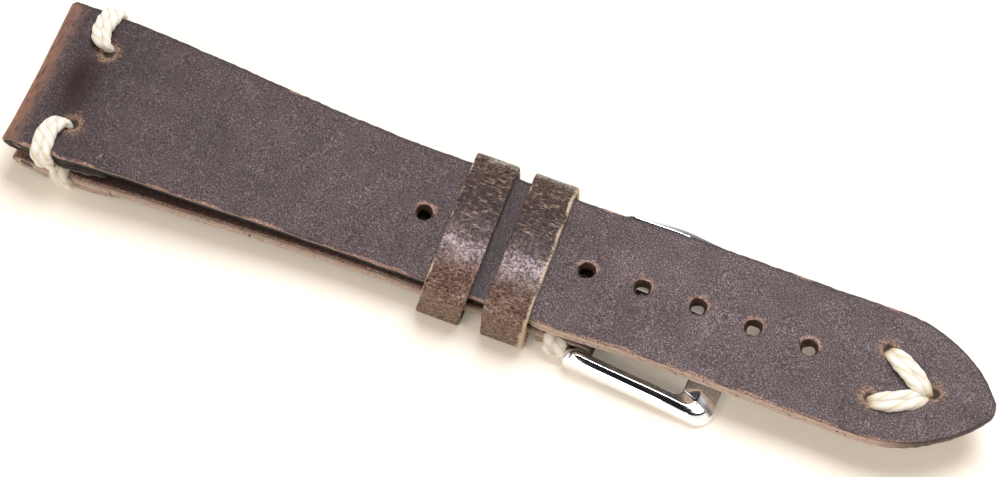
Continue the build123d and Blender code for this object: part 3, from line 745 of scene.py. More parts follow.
def frame_ring():
    """The buckle's frame: a section carried along a U. At each station it spans from the outer line to the
    inner line of the plan, and its height follows the frame's fall from the ears to the front. Both ends
    close in a rounded ear."""
    cap = np.linspace(0, pi / 2, 15)[1:]
    side_share = np.linspace(0, 1, 60)[1:]
    corner = np.linspace(0, pi / 2, 34)[1:]
    front = steps(0, (0.84, 25), (0.93, 15), (1, 5))[1:]

    def plan_line(half, flare, end_x, radius, sooner, widening):
        """Half of a plan line: the ear's round end, the side, the corner's arc and half of the front.
        sooner is where past the corner's centre the side's width is taken for it."""
        centre = end_x - radius
        side_x = BAR_X + (centre - BAR_X) * side_share

        def width(x):
            return half + flare * (x - BAR_X) / (FRONT_X - BAR_X)
        middle = width(centre + sooner) - radius
        ear = np.stack([BAR_X - EAR_ROUND * np.cos(cap), half + widening * (1 - np.sin(cap) ** 0.55)], 1)
        bend = np.stack([centre + radius * np.sin(corner), middle + radius * np.cos(corner)], 1)
        return np.vstack([ear, np.stack([side_x, width(side_x)], 1), bend,
                          np.stack([end_x + 0 * front, middle * (1 - front)], 1)])
    outer = plan_line(OUTER_HALF, OUTER_FLARE, FRONT_X, OUTER_CORNER, 0.8, -EAR_NARROWED)
    inner = plan_line(INNER_HALF, 0.0, WINDOW_X, WINDOW_CORNER, 0.4, EAR_NARROWED)
    turning = ramp(corner / (pi / 2) - CORNER_BLEND[0], CORNER_BLEND[1])
    blend = np.r_[0 * cap, 0 * side_share, turning, 0 * front + 1]
    x = (outer[:, 0] + inner[:, 0]) / 2
    high = EAR_HIGH + (FRONT_HIGH - EAR_HIGH) * ramp(x - BAR_X, RIDGE_X - BAR_X)
    high += EAR_CROWN[0] * fall(x - BAR_X, EAR_CROWN[1])
    lift = LIFT[0] * np.clip(1 - ((x - LIFT[1]) / LIFT[2]) ** 2, 0, 1) * (1 - blend)
    squeeze = np.r_[np.sin(cap), np.ones(len(x) - len(cap))]
    side_profile, front_profile = (
        spline_through([(*point, 0) for point in section], 120, closed=True)[:-1, :2]
        for section in (SIDE_SECTION, FRONT_SECTION))
    section = side_profile * (1 - blend[:, None, None]) + front_profile * blend[:, None, None]
    section = np.clip(section, 0, 1)
    steep = np.minimum(EAR_HIGH / high * np.linalg.norm(outer - inner, axis=1) / SIDE_WIDE, STEEPEST)
    steep = (steep * (1 - blend) + blend)[:, None]
    slope = (section[..., 0] > INNER_CREST[0]) * (section[..., 1] > SLOPE_FOOT)
    section[..., 1] += slope * np.clip((section[..., 1] - INNER_CREST[1]) * (steep - 1), SLOPE_DEEPEST, 0)
    plan = outer[:, None] * (1 - section[..., :1]) + inner[:, None] * section[..., :1]
    height = lift[:, None] + (high - lift)[:, None] * section[..., 1]
    height = BAR_Z + (height - BAR_Z) * squeeze[:, None]
    half = np.concatenate([plan, height[..., None]], -1)
    whole = np.vstack([half, half[-2::-1] * (1, -1, 1)])
    x, y, z = whole[..., 0], whole[..., 1], whole[..., 2]
    y -= FRAME_SKEW * np.clip(x - BAR_X - 0.5, 0, None)
    y += BULGE[0] * fall(np.abs(x - BULGE[1]), BULGE[2]) * (y > 8)
    outwards, frontwards = 1 - fall(np.abs(y) - DROP_Y[0], DROP_Y[1]), 1 - fall(x - DROP_X[0], DROP_X[1])
    z -= CORNER_DROP * outwards * frontwards * z
    notch = NOTCH[0] + np.clip((np.abs(y) - NOTCH[1]) * NOTCH[2], 0, 1)
    whole[..., 2] = np.where(x > WINDOW_X - 0.5, np.minimum(z, notch), z)
    rows, around = whole.shape[:2]
    ids = np.arange(rows * around).reshape(rows, around)
    quads = quads_of(np.hstack([ids, ids[:, :1]]).T).reshape(-1, 4)
    piece = make_mesh("buckle_frame_polished", whole.reshape(-1, 3), [*quads.tolist(), ids[0], ids[-1]])
    bore = pin_holes()
    cutter = piece.modifiers.new("pin_holes", "BOOLEAN")
    cutter.operation, cutter.object, cutter.solver = "DIFFERENCE", bore, "EXACT"
    bpy.context.view_layer.update()
    finished = piece.evaluated_get(bpy.context.evaluated_depsgraph_get())
    finished = bpy.data.meshes.new_from_object(finished)
    piece.modifiers.clear()
    piece.data = finished
    bpy.data.objects.remove(bore)
    finished.shade_smooth()
    return piece


# Thread

def rope(name, paths, seed, pitch=4.2, up=(1, 0, 0)):
    """Twisted thread along each path. A path is (points, closed, width, height), the last two being half
    sizes at each point. The cross-section is an ellipse with one round lobe for each strand, which turns
    once in every pitch. Closed paths join up, open ones end in a point."""
    around, strands, lobes = 36, 3, 0.1
    theta = np.linspace(0, 2 * pi, around, endpoint=False)
    points, faces, uvs, creases, total = [], [], [], [], 0
    rng = np.random.default_rng(seed)
    for path, closed, width, height in paths:
        count = len(path)
        length = lengths(np.vstack([path, path[:1]]) if closed else path)
        tangent = (np.roll(path, -1, 0) - np.roll(path, 1, 0)) if closed else np.gradient(path, axis=0)
        tangent /= np.linalg.norm(tangent, axis=1)[:, None]
        side = np.cross(tangent, up)
        side /= np.maximum(np.linalg.norm(side, axis=1), 1e-6)[:, None]
        rise = np.cross(side, tangent)
        turns = max(1, round(length[-1] / pitch))
        twist = 2 * pi * turns * length[:count] / length[-1] + rng.uniform(0, 2 * pi)
        lobe = np.abs(np.cos((theta[None, :] - twist[:, None]) * strands / 2))
        lump = 0.05 * np.sin(length[:count] * 2.3 + rng.uniform(0, 6)) + 0.04 * np.sin(length[:count] * 5.1)
        size = (1 - lobes + lobes * 1.25 * lobe ** 0.7) * (1 + lump)[:, None]
        # the creases between the strands, which the thread's material paints darker and yellower as shade
        crease = 1 - lobe
        if not closed:
            to_end = np.minimum(length, length[-1] - length)[:, None]
            size = size * np.sqrt(ramp(to_end, 0.5))
            # and darker towards each end
            crease = np.maximum(crease, 1.45 * fall(to_end, 2.7))
        width, height = (np.broadcast_to(half, count)[:, None] for half in (width, height))
        grid = (path[:, None] + side[:, None] * (size * width * np.cos(theta))[..., None]
                + rise[:, None] * (size * height * np.sin(theta))[..., None])
        # pressed flat where it lies on the table
        grid[..., 2] = np.maximum(grid[..., 2], 3 * ON_TABLE)
        points.append(grid.reshape(-1, 3))
        creases.append(crease.ravel())
        rows = count if closed else count - 1
        i, j = np.meshgrid(np.arange(rows), np.arange(around), indexing="ij")
        k, m = (i + 1) % count, (j + 1) % around
        quads = np.stack([i * around + j, i * around + m, k * around + m, k * around + j], -1) + total
        faces.extend(quads.reshape(-1, 4).tolist())
        ahead = length[np.stack([i, i, i + 1, i + 1], -1)]
        strand = np.stack([j, j + 1, j + 1, j], -1) / around
        uvs.append(np.stack([strand - turns * ahead / length[-1], ahead], -1).reshape(-1, 2))
        total += count * around
    return make_mesh(name, np.vstack(points), faces, {"crease": np.concatenate(creases)}, np.vstack(uvs))


def whip(side, spots, low, high, wide, apart, seed):
    """Two closed turns of thread side by side: up through the hole, over the grain side, round the edge
    and back underneath. spots are (X, Y) where it leaves the hole, half-way, at the edge above and at the
    edge below; low and high are the heights of its middle line under and over the leather."""
    rng = np.random.default_rng(seed)
    middle = (low + high) / 2
    paths = []
    for offset in (-apart, apart):
        hole, bow, rim, foot = (np.array((x + offset * share * wide, side * y))
                                for (x, y), share in zip(spots, (0.5, 1, 1, 1)))
        over = hole * (0.45, 0.85) + bow * (0.55, 0.15)
        knots = np.array([
            (*hole, middle), (*hole, high - 0.5), (*over, high - 0.02), (*bow, high + 0.06),
            (*(bow * 0.35 + rim * 0.65), high), (*rim, high - 0.55),
            (*((rim + foot) / 2 + (0, side * 0.05)), middle), (*foot, low + 0.5),
            (*(foot * 0.7 + hole * 0.3 - (0, side * 0.1)), low), (*(foot * 0.3 + hole * 0.7), low),
            (*hole, low + 0.4)])
        path = spline_through(knots + rng.uniform(-0.07, 0.07, knots.shape), 150, closed=True)[:-1]
        share = np.linspace(0, 1, len(path))
        plump = 1 - 0.42 * fall(share, 0.22) - 0.3 * fall(1 - share, 0.2)
        paths.append((path, True, 0.6 * plump, 0.54 * wide * plump))
    return paths


def staple(middle):
    """Two small closed turns of thread through a keeper's butted ends, as (Y, Z) at two places along it."""
    ring = ((-1.4, 0.5), (-1.25, 0.17), (0, 0.14), (1.25, 0.17), (1.4, 0.5), (1.25, 0.83), (0, 0.86),
            (-1.25, 0.83))
    turns = [spline_through([(middle + step, y, z) for y, z in ring], 80, closed=True)[:-1]
             for step in (-0.26, 0.26)]
    return [(turn, True, 0.19, 0.13) for turn in turns]


def v_stitch():
    """The V at the tip: two arms, each of two passes that spread and swell between the holes."""
    arms = ((-1, ((45.4, -3.5, 4.3), (45.8, -3.45, 5.1), (46.9, -3.15, 5.45), (48.4, -2.5, 5.55),
                  (49.9, -1.65, 5.45), (50.9, -0.8, 5.2), (51.3, -0.4, 4.3))),
            (1, ((45.5, 3.25, 4.42), (45.9, 3.0, 5.22), (46.9, 2.45, 5.62), (48.4, 1.5, 5.74),
                 (49.9, 0.5, 5.62), (50.9, -0.3, 5.32), (51.3, -0.6, 4.42))))
    spread = np.array([0.3, 0.6, 0.95, 1.1, 1.0, 0.75, 0.4])[:, None]
    swell = np.sin(pi * np.linspace(0, 1, 110))
    return [(spline_through(knots + lay * spread * (0.55, 0.85 * side, 0), 110), False,
             0.5 + 0.22 * swell, 0.42 + 0.12 * swell)
            for side, knots in arms for lay in (-0.5, 0.5)]


# Each pair of whip stitches: its thread's name, its spots on the far side, and the rest as whip takes them
WHIPS = {
    "tail_piece_lug_stitch": (
        "tail_lug_thread", ((-52.5, 5.6), (-54.1, 7.4), (-53.8, 10.35), (-53.3, 10.35)),
        3.95, 6.95, 1.45, 0.34, 11),
    "buckle_piece_lug_stitch": (
        "buckle_lug_thread", ((-51.6, 5.7), (-52.2, 7.6), (-52.0, 10.3), (-51.3, 10.3)),
        0.62, 2.85, 1.25, 0.42, 14),
    "bar_loop_stitch": (
        "bar_loop_thread", ((9.5, 5.2), (9.5, 6.8), (9.8, 8.95), (10.0, 9.0)),
        0.68, 2.38, 1.95, 0.2, 17)}

tail = tail_band()
shape_tail(tail)
short = buckle_band()
shape_short(short)
keepers = {label: keeper_band(f"{label}_leather", KEEPERS[label], foot)
           for label, foot in (("free_keeper", 0.1), ("fixed_keeper", 0.75))}
for label, seed, dye in (("free_keeper", 61, 0.85), ("fixed_keeper", 65, 0.0)):
    shape_keeper(keepers[label], KEEPERS[label], seed, dye)
steel_frame = frame_ring()
threads = {}
for side, label in ((-1, "near"), (1, "far")):
    for stitch, (thread, spots, *sizes, seed) in WHIPS.items():
        turns = whip(side, spots, *sizes, seed + side)
        threads[f"{stitch}_{label}"] = rope(f"{thread}_{label}", turns, seed=seed + 10 + side)
threads["tail_stitch"] = rope("tail_thread", v_stitch(), pitch=6.0, up=(0, 0, 1), seed=33)
for label, middle in KEEPERS.items():
    threads[f"{label}_stitch"] = rope(f"{label}_thread", staple(middle), pitch=1.6, seed=35)


# Materials

NOISE, RAMP, MIX, MATH = "ShaderNodeTexNoise", "ShaderNodeValToRGB", "ShaderNodeMix", "ShaderNodeMath"
PLACE, BUMP, RANGE = "ShaderNodeMapping", "ShaderNodeBump", "ShaderNodeMapRange"
VECTOR, SPLIT = "ShaderNodeVectorMath", "ShaderNodeSeparateXYZ"
BY, BASE, COAT = 0, 6, 7                  # the sockets of a Mix node for colours: its factor, A and B
COLOUR = {"out": 2, "data_type": "RGBA"}
DARKEN = {"blend_type": "MULTIPLY", **COLOUR}


def add_node(tree, kind, sockets=None, stops=None, out=0, **settings):
    """Adds a node with its settings, a ramp's stops, and a value or a link for each socket, by name or
    number. A text value is a hex colour. Returns one of the node's outputs."""
    made = tree.nodes.new(kind)
    for label, value in settings.items():
        setattr(made, label, value)
    for label, value in (sockets or {}).items():
        if isinstance(value, bpy.types.NodeSocket):
            tree.links.new(value, made.inputs[label])
        else:
            made.inputs[label].default_value = srgb(value) if isinstance(value, str) else value
    for number, (place, tone) in enumerate(stops or ()):
        ramp_stops = made.color_ramp.elements
        stop = ramp_stops[number] if number < len(ramp_stops) else ramp_stops.new(place)
        stop.position, stop.color = place, srgb(tone) if isinstance(tone, str) else (tone, tone, tone, 1)
    return made.outputs[out]


def shaded(name, *stored, **fixed):
    """A new material and what it is made with: the function that adds its nodes, its shader with the fixed
    values set, the object's own coordinates, and the numbers that the pieces store under those names."""
    material = bpy.data.materials.new(name)
    material.use_nodes = True
    add = partial(add_node, material.node_tree)
    shader = material.node_tree.nodes["Principled BSDF"]
    for label, value in fixed.items():
        socket = shader.inputs[label.replace("_", " ")]
        socket.default_value = srgb(value) if isinstance(value, str) else value
    numbers = {label: add("ShaderNodeAttribute", attribute_name=label, out="Fac") for label in stored}
    return material, add, shader, add("ShaderNodeTexCoord", out="Object"), numbers


def plug(shader, **sources):
    """Links outputs to the shader's sockets, whose names are written with _ for a space."""
    for label, source in sources.items():
        shader.id_data.links.new(source, shader.inputs[label.replace("_", " ")])


def strap_look():
    """Waxed pull-up cowhide, tanned and dyed brown, cut with a knife and left raw at the edges. The grain
    side is matt, dark purple brown under fine pale specks of worn wax, reddish where it bends and tan
    where it is torn; the flesh side is dark and rough, and the cut sides show pale pinkish fibres."""
    material, add, shader, where, stored = shaded(
        "waxed_pull_up_cowhide", "fold", "trough", "kept", "torn", "worn", "burnish", "depth", "bore",
        "flesh", "dyed", "cut", Specular_IOR_Level=0.4)
    # Patterns by size in millimetres, detail, roughness, and stretch where there is one: the wax's specks
    # and their clouds, broad shades, blotches, fibres, tufts of torn ones, ragged borders, specks of dye;
    # and streaks round the fold, fibres drawn out along the cut side, wrinkles across the strap
    noise = {}
    for label, size, detail, roughness, *stretch in (
            ("speck", 0.17, 3.0, 0.6), ("cloud", 3.0, 5.0, 0.65), ("shade", 8.0, 3.0, 0.5),
            ("blotch", 0.6, 4.0, 0.5), ("fibre", 0.2, 4.0, 0.75), ("tuft", 0.28, 4.0, 0.7),
            ("ragged", 0.45, 5.0, 0.75), ("dye", 0.5, 4.0, 0.5), ("streak", 0.5, 4.0, 0.65, 1.0, 0.35, 1.0),
            ("drawn", 0.15, 4.0, 0.8, 0.3, 0.3, 1.5), ("wrinkle", 0.8, 3.0, 0.6, 1.0, 0.3, 1.0)):
        spot = add(PLACE, {"Vector": where, "Scale": stretch}) if stretch else where
        noise[label] = add(NOISE, {"Vector": spot, "Scale": 1 / (size * MM), "Detail": detail,
                                   "Roughness": roughness})
    # specks gather in the clouds, and there are more of them towards the tip
    along = add(SPLIT, {"Vector": where}, out="X")
    tipward = add(RANGE, {"Value": along, "From Min": -50 * MM, "From Max": 30 * MM, "To Min": -0.04,
                          "To Max": 0.02})
    lift = add(MATH, {0: noise["cloud"], 1: 0.14, 2: tipward}, operation="MULTIPLY_ADD")
    grain = add(MATH, {0: noise["speck"], 1: lift}, operation="ADD")
    skin = add(RAMP, {"Fac": grain}, stops=((0.42, "#2b2021"), (0.52, "#3f3233"), (0.60, "#55474a"),
                                            (0.67, "#6c5d62"), (0.78, "#9b8c92")))
    shade = add(RAMP, {"Fac": noise["shade"]}, stops=((0.3, 0.78), (0.7, 1.12)))
    skin = add(MIX, {BY: 1.0, BASE: skin, COAT: shade}, **DARKEN)
    # brown dye shows through the wax in blotches
    ruddy = add(RAMP, {"Fac": noise["blotch"]}, stops=((0.56, 0.0), (0.72, 0.42)))
    streaks = add(RAMP, {"Fac": noise["streak"]}, stops=((0.34, 0.2), (0.56, 1.0)))
    fold = add(MATH, {0: stored["fold"], 1: streaks}, operation="MULTIPLY")
    # the trough along each fold's stitches is darkened, part stain and part painted shade
    trough = add(MATH, {0: stored["trough"], 1: 0.85}, operation="MULTIPLY")
    # between the keepers the grain side is darkened, part unrubbed wax and part painted shade
    kept = add(MATH, {0: stored["kept"], 1: 0.6}, operation="MULTIPLY")
    # a torn hole: bared leather round it, tufts of fibres thicker towards it, and inside a painted dark
    # hollow, as shade
    pulled = stored["torn"]
    bared = add(RANGE, {"Value": pulled, "From Min": 0.1, "From Max": 0.6, "To Max": 0.7})
    tufts = add(MATH, {0: pulled, 1: 0.3, 2: noise["tuft"]}, operation="MULTIPLY_ADD")
    tufts = add(RANGE, {"Value": tufts, "From Min": 0.54, "From Max": 0.76, "To Max": 0.6})
    torn = add(MATH, {0: tufts, 1: add(RANGE, {"Value": pulled, "From Max": 0.15})}, operation="MULTIPLY")
    hollow = add(RANGE, {"Value": pulled, "From Min": 0.6, "From Max": 0.82, "To Max": 0.92})
    # worn edges, nicks and hole rims turn pale; along the buckle piece's near edge the same pale colour is
    # painted light
    ragged = add(MATH, {0: noise["ragged"], 1: 1.6, 2: stored["worn"]}, operation="MULTIPLY_ADD")
    worn = add(RANGE, {"Value": ragged, "From Min": 1.2, "From Max": 1.5})
    rubbed = add(RAMP, {"Fac": noise["fibre"]}, stops=((0.38, "#5d4038"), (0.52, "#96756a"),
                                                       (0.66, "#d8bdb2")))
    # the burnish mask darkens the tail piece's burnished far edge, and on the buckle piece the grain side
    # under the tail as painted shade
    for share, tint in ((ruddy, "#6a4438"), (fold, "#a87a63"), (trough, "#261713"), (kept, "#2a1e20"),
                        (bared, "#4a2e24"), (torn, "#c8a890"), (hollow, "#1d1310"), (worn, rubbed),
                        (stored["burnish"], "#241a1b")):
        skin = add(MIX, {BY: share, BASE: skin, COAT: tint}, **COLOUR)
    # the cut side: pale fibres drawn out along it, darker at the top, along a line in the middle and towards
    # the bottom, where it is painted shade; dark specks of dye; inside a hole it is painted dark as shade,
    # and the flesh side is a pale suede
    raw = add(RAMP, {"Fac": noise["drawn"]}, stops=((0.34, "#9a7b6e"), (0.43, "#d0b3a4"), (0.54, "#f0dacb"),
                                                    (0.66, "#fff6ee")))
    layer = add(MATH, {0: noise["drawn"], 1: 0.4, 2: stored["depth"]}, operation="MULTIPLY_ADD")
    layer = add(MATH, {0: layer, 1: 0.7}, operation="MULTIPLY")
    layer = add(RAMP, {"Fac": layer}, stops=((0.16, 0.6), (0.26, 0.95), (0.44, 1.0), (0.50, 0.65),
                                             (0.58, 1.0), (0.74, 1.0), (0.82, 0.7)))
    raw = add(MIX, {BY: 1.0, BASE: raw, COAT: layer}, **DARKEN)
    specks = add(RAMP, {"Fac": noise["dye"]}, stops=((0.30, 1.0), (0.38, 0.0)))
    inside = add(RAMP, {"Fac": noise["fibre"]}, stops=((0.38, "#21150f"), (0.6, "#5f4033")))
    suede = add(RAMP, {"Fac": noise["drawn"]}, stops=((0.36, "#9c908b"), (0.64, "#ded4ce")))
    # the same mask darkens cut sides: burnish, and painted shade on the buckle piece
    cut_burnish_and_shade = add(MATH, {0: stored["burnish"], 1: 0.85}, operation="MULTIPLY")
    # the black of the edge dye and painted shade has a lower border as ragged as the fibres
    dyed = add(MATH, {0: stored["dyed"], 1: noise["drawn"]}, operation="ADD")
    dyed = add(RANGE, {"Value": dyed, "From Min": 0.55, "From Max": 1.25, "To Max": 0.97})
    for share, tint in ((specks, "#47332d"), (stored["bore"], inside), (stored["flesh"], suede),
                        (cut_burnish_and_shade, "#33241d"), (dyed, "#0f0908")):
        raw = add(MIX, {BY: share, BASE: raw, COAT: tint}, **COLOUR)
    colour = add(MIX, {BY: stored["cut"], BASE: skin, COAT: raw}, **COLOUR)
    gloss = add(RAMP, {"Fac": grain}, stops=((0.46, 0.62), (0.76, 0.45)))
    gloss = add(MATH, {0: trough, 1: 0.4, 2: gloss}, operation="MULTIPLY_ADD")
    fibres = add(MATH, {0: noise["drawn"], 1: stored["cut"]}, operation="MULTIPLY")
    pores = add(MATH, {0: torn, 1: noise["fibre"], 2: noise["speck"]}, operation="MULTIPLY_ADD")
    relief = add(BUMP, {"Height": noise["wrinkle"], "Distance": 0.10 * MM, "Strength": 1.0})
    relief = add(BUMP, {"Height": fibres, "Distance": 0.2 * MM, "Strength": 1.0, "Normal": relief})
    relief = add(BUMP, {"Height": pores, "Distance": 0.06 * MM, "Strength": 1.0, "Normal": relief})
    plug(shader, Base_Color=colour, Roughness=gloss, Normal=relief)
    return material


def keeper_leather_look():
    """Thin glazed side leather bent sharply round the strap. Its finish has crazed into a slanting net of
    fine pale lines and breaks reddish brown over the near bend; the far third is darkest. A grey sheen on
    the flat is a painted highlight in its colour."""
    material, add, shader, where, stored = shaded("crazed_glazed_side_leather", "worn", "dyed", "cut",
                                                  Specular_IOR_Level=0.25)
    # patterns by size in millimetres, detail and roughness
    wander, grain, patch = (
        add(NOISE, {"Vector": where, "Scale": 1 / (size * MM), "Detail": detail, "Roughness": roughness})
        for size, detail, roughness in ((2.2, 3.0, 0.5), (0.3, 3.0, 0.65), (1.0, 5.0, 0.7)))
    # tones follow the place across the keeper, 0 at the near wall and 1 at the far one, and wander
    half = (WINDOW_HALF + KEEPER_LEATHER) * MM
    across = add(SPLIT, {"Vector": where}, out="Y")
    across = add(RANGE, {"Value": across, "From Min": -half, "From Max": half})
    drift = add(MATH, {0: across, 1: 0.1}, operation="SUBTRACT")
    drift = add(MATH, {0: wander, 1: 0.2, 2: drift}, operation="MULTIPLY_ADD")
    # a grey-lilac band a little nearer than the middle is a painted sheen; the colour is paler again at the
    # far wall
    skin = add(RAMP, {"Fac": drift}, stops=(
        (0.02, "#6e564a"), (0.08, "#4c2b1d"), (0.18, "#472317"), (0.25, "#75605f"), (0.35, "#9a8d94"),
        (0.45, "#54474a"), (0.60, "#382929"), (0.80, "#2f1911"), (0.93, "#352016"), (0.99, "#8a857c")))
    shade = add(RAMP, {"Fac": grain}, stops=((0.38, 0.25), (0.5, 0.8), (0.62, 2.0)))
    skin = add(MIX, {BY: 1.0, BASE: skin, COAT: shade}, **DARKEN)
    # wrinkles: slanting ridges of stretched noise, 0.5 by 2.2 mm, broken by coarser patches
    slant = add(PLACE, {"Vector": where, "Rotation": (0.0, 0.0, 0.35), "Scale": (0.23, 1.0, 1.0)})
    ridge = add(NOISE, {"Vector": slant, "Scale": 1 / (0.5 * MM), "Roughness": 0.5, "Distortion": 0.25})
    ridge = add(MATH, {0: ridge, 1: 0.5}, operation="SUBTRACT")
    ridge = add(MATH, {0: ridge}, operation="ABSOLUTE")
    lines = add(RAMP, {"Fac": ridge}, stops=((0.0, 1.0), (0.018, 0.7), (0.04, 0.0)))
    patches = add(RAMP, {"Fac": patch}, stops=((0.42, 0.05), (0.58, 1.0)))
    lines = add(MATH, {0: lines, 1: patches}, operation="MULTIPLY")
    # and a net of cells 0.42 mm wide over both bends, pushed about by 0.6 mm
    pushed = add(NOISE, {"Vector": where, "Scale": 1 / (0.7 * MM), "Detail": 3.0}, out="Color")
    pushed = add(VECTOR, {0: pushed, 1: (0.6 * MM,) * 3, 2: where}, operation="MULTIPLY_ADD")
    pushed = add(PLACE, {"Vector": pushed, "Rotation": (0.0, 0.0, 0.5), "Scale": (0.55, 1.0, 1.0)})
    cells = add("ShaderNodeTexVoronoi", {"Vector": pushed, "Scale": 1 / (0.42 * MM)},
                feature="DISTANCE_TO_EDGE")
    net = add(RAMP, {"Fac": cells}, stops=((0.0, 1.0), (0.05, 0.6), (0.11, 0.0)))
    bend = add(RAMP, {"Fac": across}, stops=((0.0, 0.4), (0.18, 0.6), (0.28, 0.1), (0.75, 0.05), (0.9, 0.3)))
    net = add(MATH, {0: net, 1: bend}, operation="MULTIPLY")
    crazed = add(MATH, {0: lines, 1: net}, operation="MAXIMUM")
    pale = add(MATH, {0: crazed, 1: 0.66}, operation="MULTIPLY")
    rim = add(MATH, {0: grain, 1: 1.2, 2: stored["worn"]}, operation="MULTIPLY_ADD")
    rim = add(RANGE, {"Value": rim, "From Min": 1.15, "From Max": 1.5, "To Max": 0.8})
    raw = add(RAMP, {"Fac": grain}, stops=((0.35, "#8c6f52"), (0.5, "#d6be9b"), (0.66, "#f7ead0")))
    raw = add(MIX, {BY: stored["dyed"], BASE: raw, COAT: "#2a1b15"}, **COLOUR)
    for share, tint in ((pale, "#d3bbac"), (rim, "#dccab2"), (stored["cut"], raw)):
        skin = add(MIX, {BY: share, BASE: skin, COAT: tint}, **COLOUR)
    gloss = add(RAMP, {"Fac": grain}, stops=((0.35, 0.55), (0.65, 0.36)))
    height = add(MATH, {0: grain, 1: crazed}, operation="SUBTRACT")
    relief = add(BUMP, {"Height": height, "Distance": 0.1 * MM, "Strength": 1.0})
    plug(shader, Base_Color=skin, Roughness=gloss, Normal=relief)
    return material


def linen_look():
    """Thick waxed linen thread, bleached and laid from loose strands: nearly white, painted darker and
    yellower in the creases as shade and darker towards its ends, with fine fibres along each strand. Light
    passes through the loose outer fibres."""
    material, add, shader, _, stored = shaded(
        "bleached_waxed_linen", "crease", Roughness=0.6, Sheen_Weight=0.25, Subsurface_Weight=0.35,
        Subsurface_Radius=(1.0, 0.9, 0.7), Subsurface_Scale=0.7 * MM)
    # a strand's fibres, drawn about 0.1 mm wide so that they show
    fibres = add(PLACE, {"Vector": add("ShaderNodeUVMap", uv_map="lay"), "Scale": (42.0, 1.4, 1.0)})
    fibres = add(NOISE, {"Vector": fibres, "Scale": 1.0, "Detail": 4.0})
    # painted shade in the creases, and darker towards the ends
    crease = add(MATH, {0: stored["crease"], 1: 1.8}, operation="POWER")
    crease = add(MATH, {0: crease, 1: 0.62}, operation="MULTIPLY")
    colour = add(RAMP, {"Fac": crease}, stops=((0.0, "#fdfbf4"), (0.6, "#e3d9bb"), (1.0, "#a08a58")))
    shade = add(RAMP, {"Fac": fibres}, stops=((0.3, 0.88), (0.6, 1.0)))
    colour = add(MIX, {BY: 1.0, BASE: colour, COAT: shade}, **DARKEN)
    relief = add(BUMP, {"Height": fibres, "Distance": 0.08 * MM, "Strength": 1.0})
    plug(shader, Base_Color=colour, Normal=relief)
    return material


def polished_steel_look():
    """Cast stainless steel, mirror polished: sharp reflections, and a few hairlines left by the mop."""
    material, add, shader, where, _ = shaded("polished_stainless_steel", Base_Color="#f8f8f7", Metallic=1.0)
    drawn = add(PLACE, {"Vector": where, "Scale": (0.05, 1.0, 1.0)})
    hair = add(NOISE, {"Vector": drawn, "Scale": 1 / (0.12 * MM)})
    soft = add(NOISE, {"Vector": where, "Scale": 1 / (1.6 * MM)})
    plug(shader, Roughness=add(RAMP, {"Fac": hair}, stops=((0.3, 0.04), (0.75, 0.14))),
         Normal=add(BUMP, {"Height": soft, "Distance": 0.012 * MM, "Strength": 1.0}))
    return material


def turned_steel_look():
    """Drawn stainless tube and turned pins: bright grey with fine rings from the lathe."""
    material, add, shader, where, _ = shaded("turned_stainless_steel", Base_Color="#b9b8b6", Metallic=1.0)
    drawn = add(PLACE, {"Vector": where, "Scale": (0.1, 1.0, 0.1)})
    rings = add(NOISE, {"Vector": drawn, "Scale": 1 / (0.15 * MM)})
    plug(shader, Roughness=add(RAMP, {"Fac": rings}, stops=((0.3, 0.2), (0.7, 0.38))),
         Normal=add(BUMP, {"Height": rings, "Distance": 0.01 * MM, "Strength": 1.0}))
    return material


def paint(piece, material):
    """The piece's one material."""
    piece.data.materials.clear()
    piece.data.materials.append(material)


leather, keeper_look, linen = strap_look(), keeper_leather_look(), linen_look()
chrome, brushed = polished_steel_look(), turned_steel_look()
bar_nodes = ("bar_tube", "bar_spring", "bar_pin_near", "bar_pin_far")
for label, material in (("buckle_tang", chrome), *((label, brushed) for label in bar_nodes)):
    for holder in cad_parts[label].material_slots:
        holder.link = "OBJECT"
        holder.material = material

# For each piece: its material, the node it stands for, the body it rides on and its finish
dressed = [(tail, leather, "tail_piece", "tail", "strap_leather"),
           (short, leather, "buckle_piece", "root", "strap_leather"),
           (keepers["free_keeper"], keeper_look, "free_keeper", "loose_keeper", "keeper_leather"),
           (keepers["fixed_keeper"], keeper_look, "fixed_keeper", "root", "keeper_leather"),
           (steel_frame, chrome, "buckle_frame", "frame", "buckle_steel")]
for label, piece in threads.items():
    body = "tail" if label.startswith("tail") else "loose_keeper" if label.startswith("free") else "root"
    dressed.append((piece, linen, label, body, "thread"))
for piece, material, label, body, finish in dressed:
    paint(piece, material)
    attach(piece, body)
    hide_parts(label)


# Stage, light and camera, in metres

FLOOR_GLOW = 0.13         # the card's own light for seen rays: the ground is white, and shadows stay
FLOOR_HALF = 2
ROOM_LIGHT = 0.30


def seen_share(add, level):
    """A level for rays from the camera, a mirror or glass, and nothing for the rays that light the scene."""
    ray = add("ShaderNodeLightPath").node
    seen = add(MATH, {0: ray.outputs["Is Camera Ray"], 1: ray.outputs["Is Glossy Ray"]}, operation="ADD")
    seen = add(MATH, {0: seen, 1: ray.outputs["Is Transmission Ray"]}, operation="ADD", use_clamp=True)
    return add(MATH, {0: seen, 1: level}, operation="MULTIPLY")


floor_mesh = bpy.data.meshes.new("floor")
corners = [(x * FLOOR_HALF, y * FLOOR_HALF, 0) for x, y in ((-1, -1), (1, -1), (1, 1), (-1, 1))]
floor_mesh.from_pydata(corners, [], [(0, 1, 2, 3)])
floor = bpy.data.objects.new("floor", floor_mesh)
bpy.context.scene.collection.objects.link(floor)
card, add, shader, *_ = shaded("matt_white_card", Base_Color="#faf6ee", Roughness=0.95)
glow = add("ShaderNodeEmission", {"Color": "#fff6e8", "Strength": seen_share(add, FLOOR_GLOW)})
both = add("ShaderNodeAddShader", {0: shader.outputs[0], 1: glow})
plug(card.node_tree.nodes["Material Output"], Surface=both)
paint(floor, card)

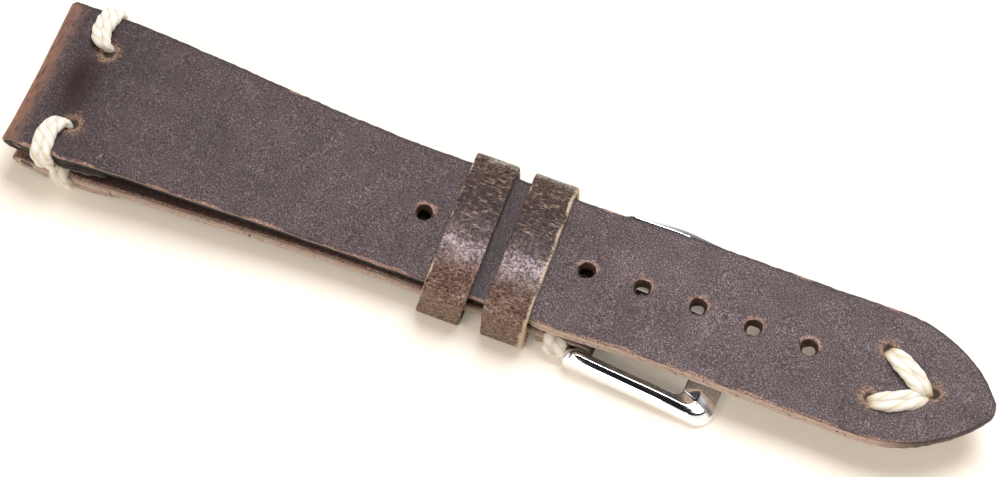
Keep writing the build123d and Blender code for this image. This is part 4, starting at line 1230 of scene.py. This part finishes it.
for label, place, size, power, tint in (("key", (0.06, 0.36, 0.66), 0.45, 6.0, "#fcfcff"),
                                        ("fill", (-0.25, -0.55, 0.45), 0.5, 2.2, "#fff6ec")):
    data = bpy.data.lights.new(label, "AREA")
    data.size, data.energy, data.color = size, power, srgb(tint)[:3]
    lamp = bpy.data.objects.new(label, data)
    lamp.location = place
    lamp.rotation_euler = (-Vector(place)).to_track_quat("-Z", "Y").to_euler()
    bpy.context.scene.collection.objects.link(lamp)
world = bpy.data.worlds.new("room")
world.use_nodes = True
add = partial(add_node, world.node_tree)
# what a mirror sees: pale walls low down, and a dark ceiling that comes lower on the far side
height = add(VECTOR, {0: add("ShaderNodeTexCoord", out="Generated"), 1: (-0.15, 0.2, 1.0)}, out="Value",
             operation="DOT_PRODUCT")
room = add(RAMP, {"Fac": height}, stops=((0.0, "#ffffff"), (0.45, "#ffffff"), (0.58, "#a09ca4"),
                                         (0.74, "#2a282c"), (0.95, "#1d1b1f"), (1.0, "#4a474c")))
seen = seen_share(add, 1.0)
plug(world.node_tree.nodes["Background"], Color=add(MIX, {BY: seen, BASE: "#ffe6c8", COAT: room}, **COLOUR),
     Strength=add(MATH, {0: seen, 1: 1 - ROOM_LIGHT, 2: ROOM_LIGHT}, operation="MULTIPLY_ADD"))
bpy.context.scene.world = world
bpy.context.scene.view_settings.view_transform = "Standard"

# The camera, fitted to points on the photograph's outline: where it looks, how it is turned, how far it is
LOOKS_AT = Vector((-0.00091, 0.00111, 0.003))
YAW, TILT, ROLL = radians(21.96), radians(62.14), radians(0.10)
DISTANCE, LENS, SENSOR = 0.37048, 115.53, 36
ahead = Vector((-sin(YAW) * cos(TILT), cos(YAW) * cos(TILT), -sin(TILT)))
right = Vector((cos(YAW), sin(YAW), 0))
over = right.cross(ahead)
across = cos(ROLL) * right + sin(ROLL) * over
upward = cos(ROLL) * over - sin(ROLL) * right
turned = Matrix((across, upward, -ahead)).transposed().to_4x4()
camera_data = bpy.data.cameras.new("camera")
camera_data.sensor_width, camera_data.lens, camera_data.clip_start = SENSOR, LENS, 0.01
camera = bpy.data.objects.new("camera", camera_data)
camera.matrix_world = Matrix.Translation(LOOKS_AT - DISTANCE * ahead) @ turned
bpy.context.scene.collection.objects.link(camera)
bpy.context.scene.camera = camera

bpy.context.view_layer.update()
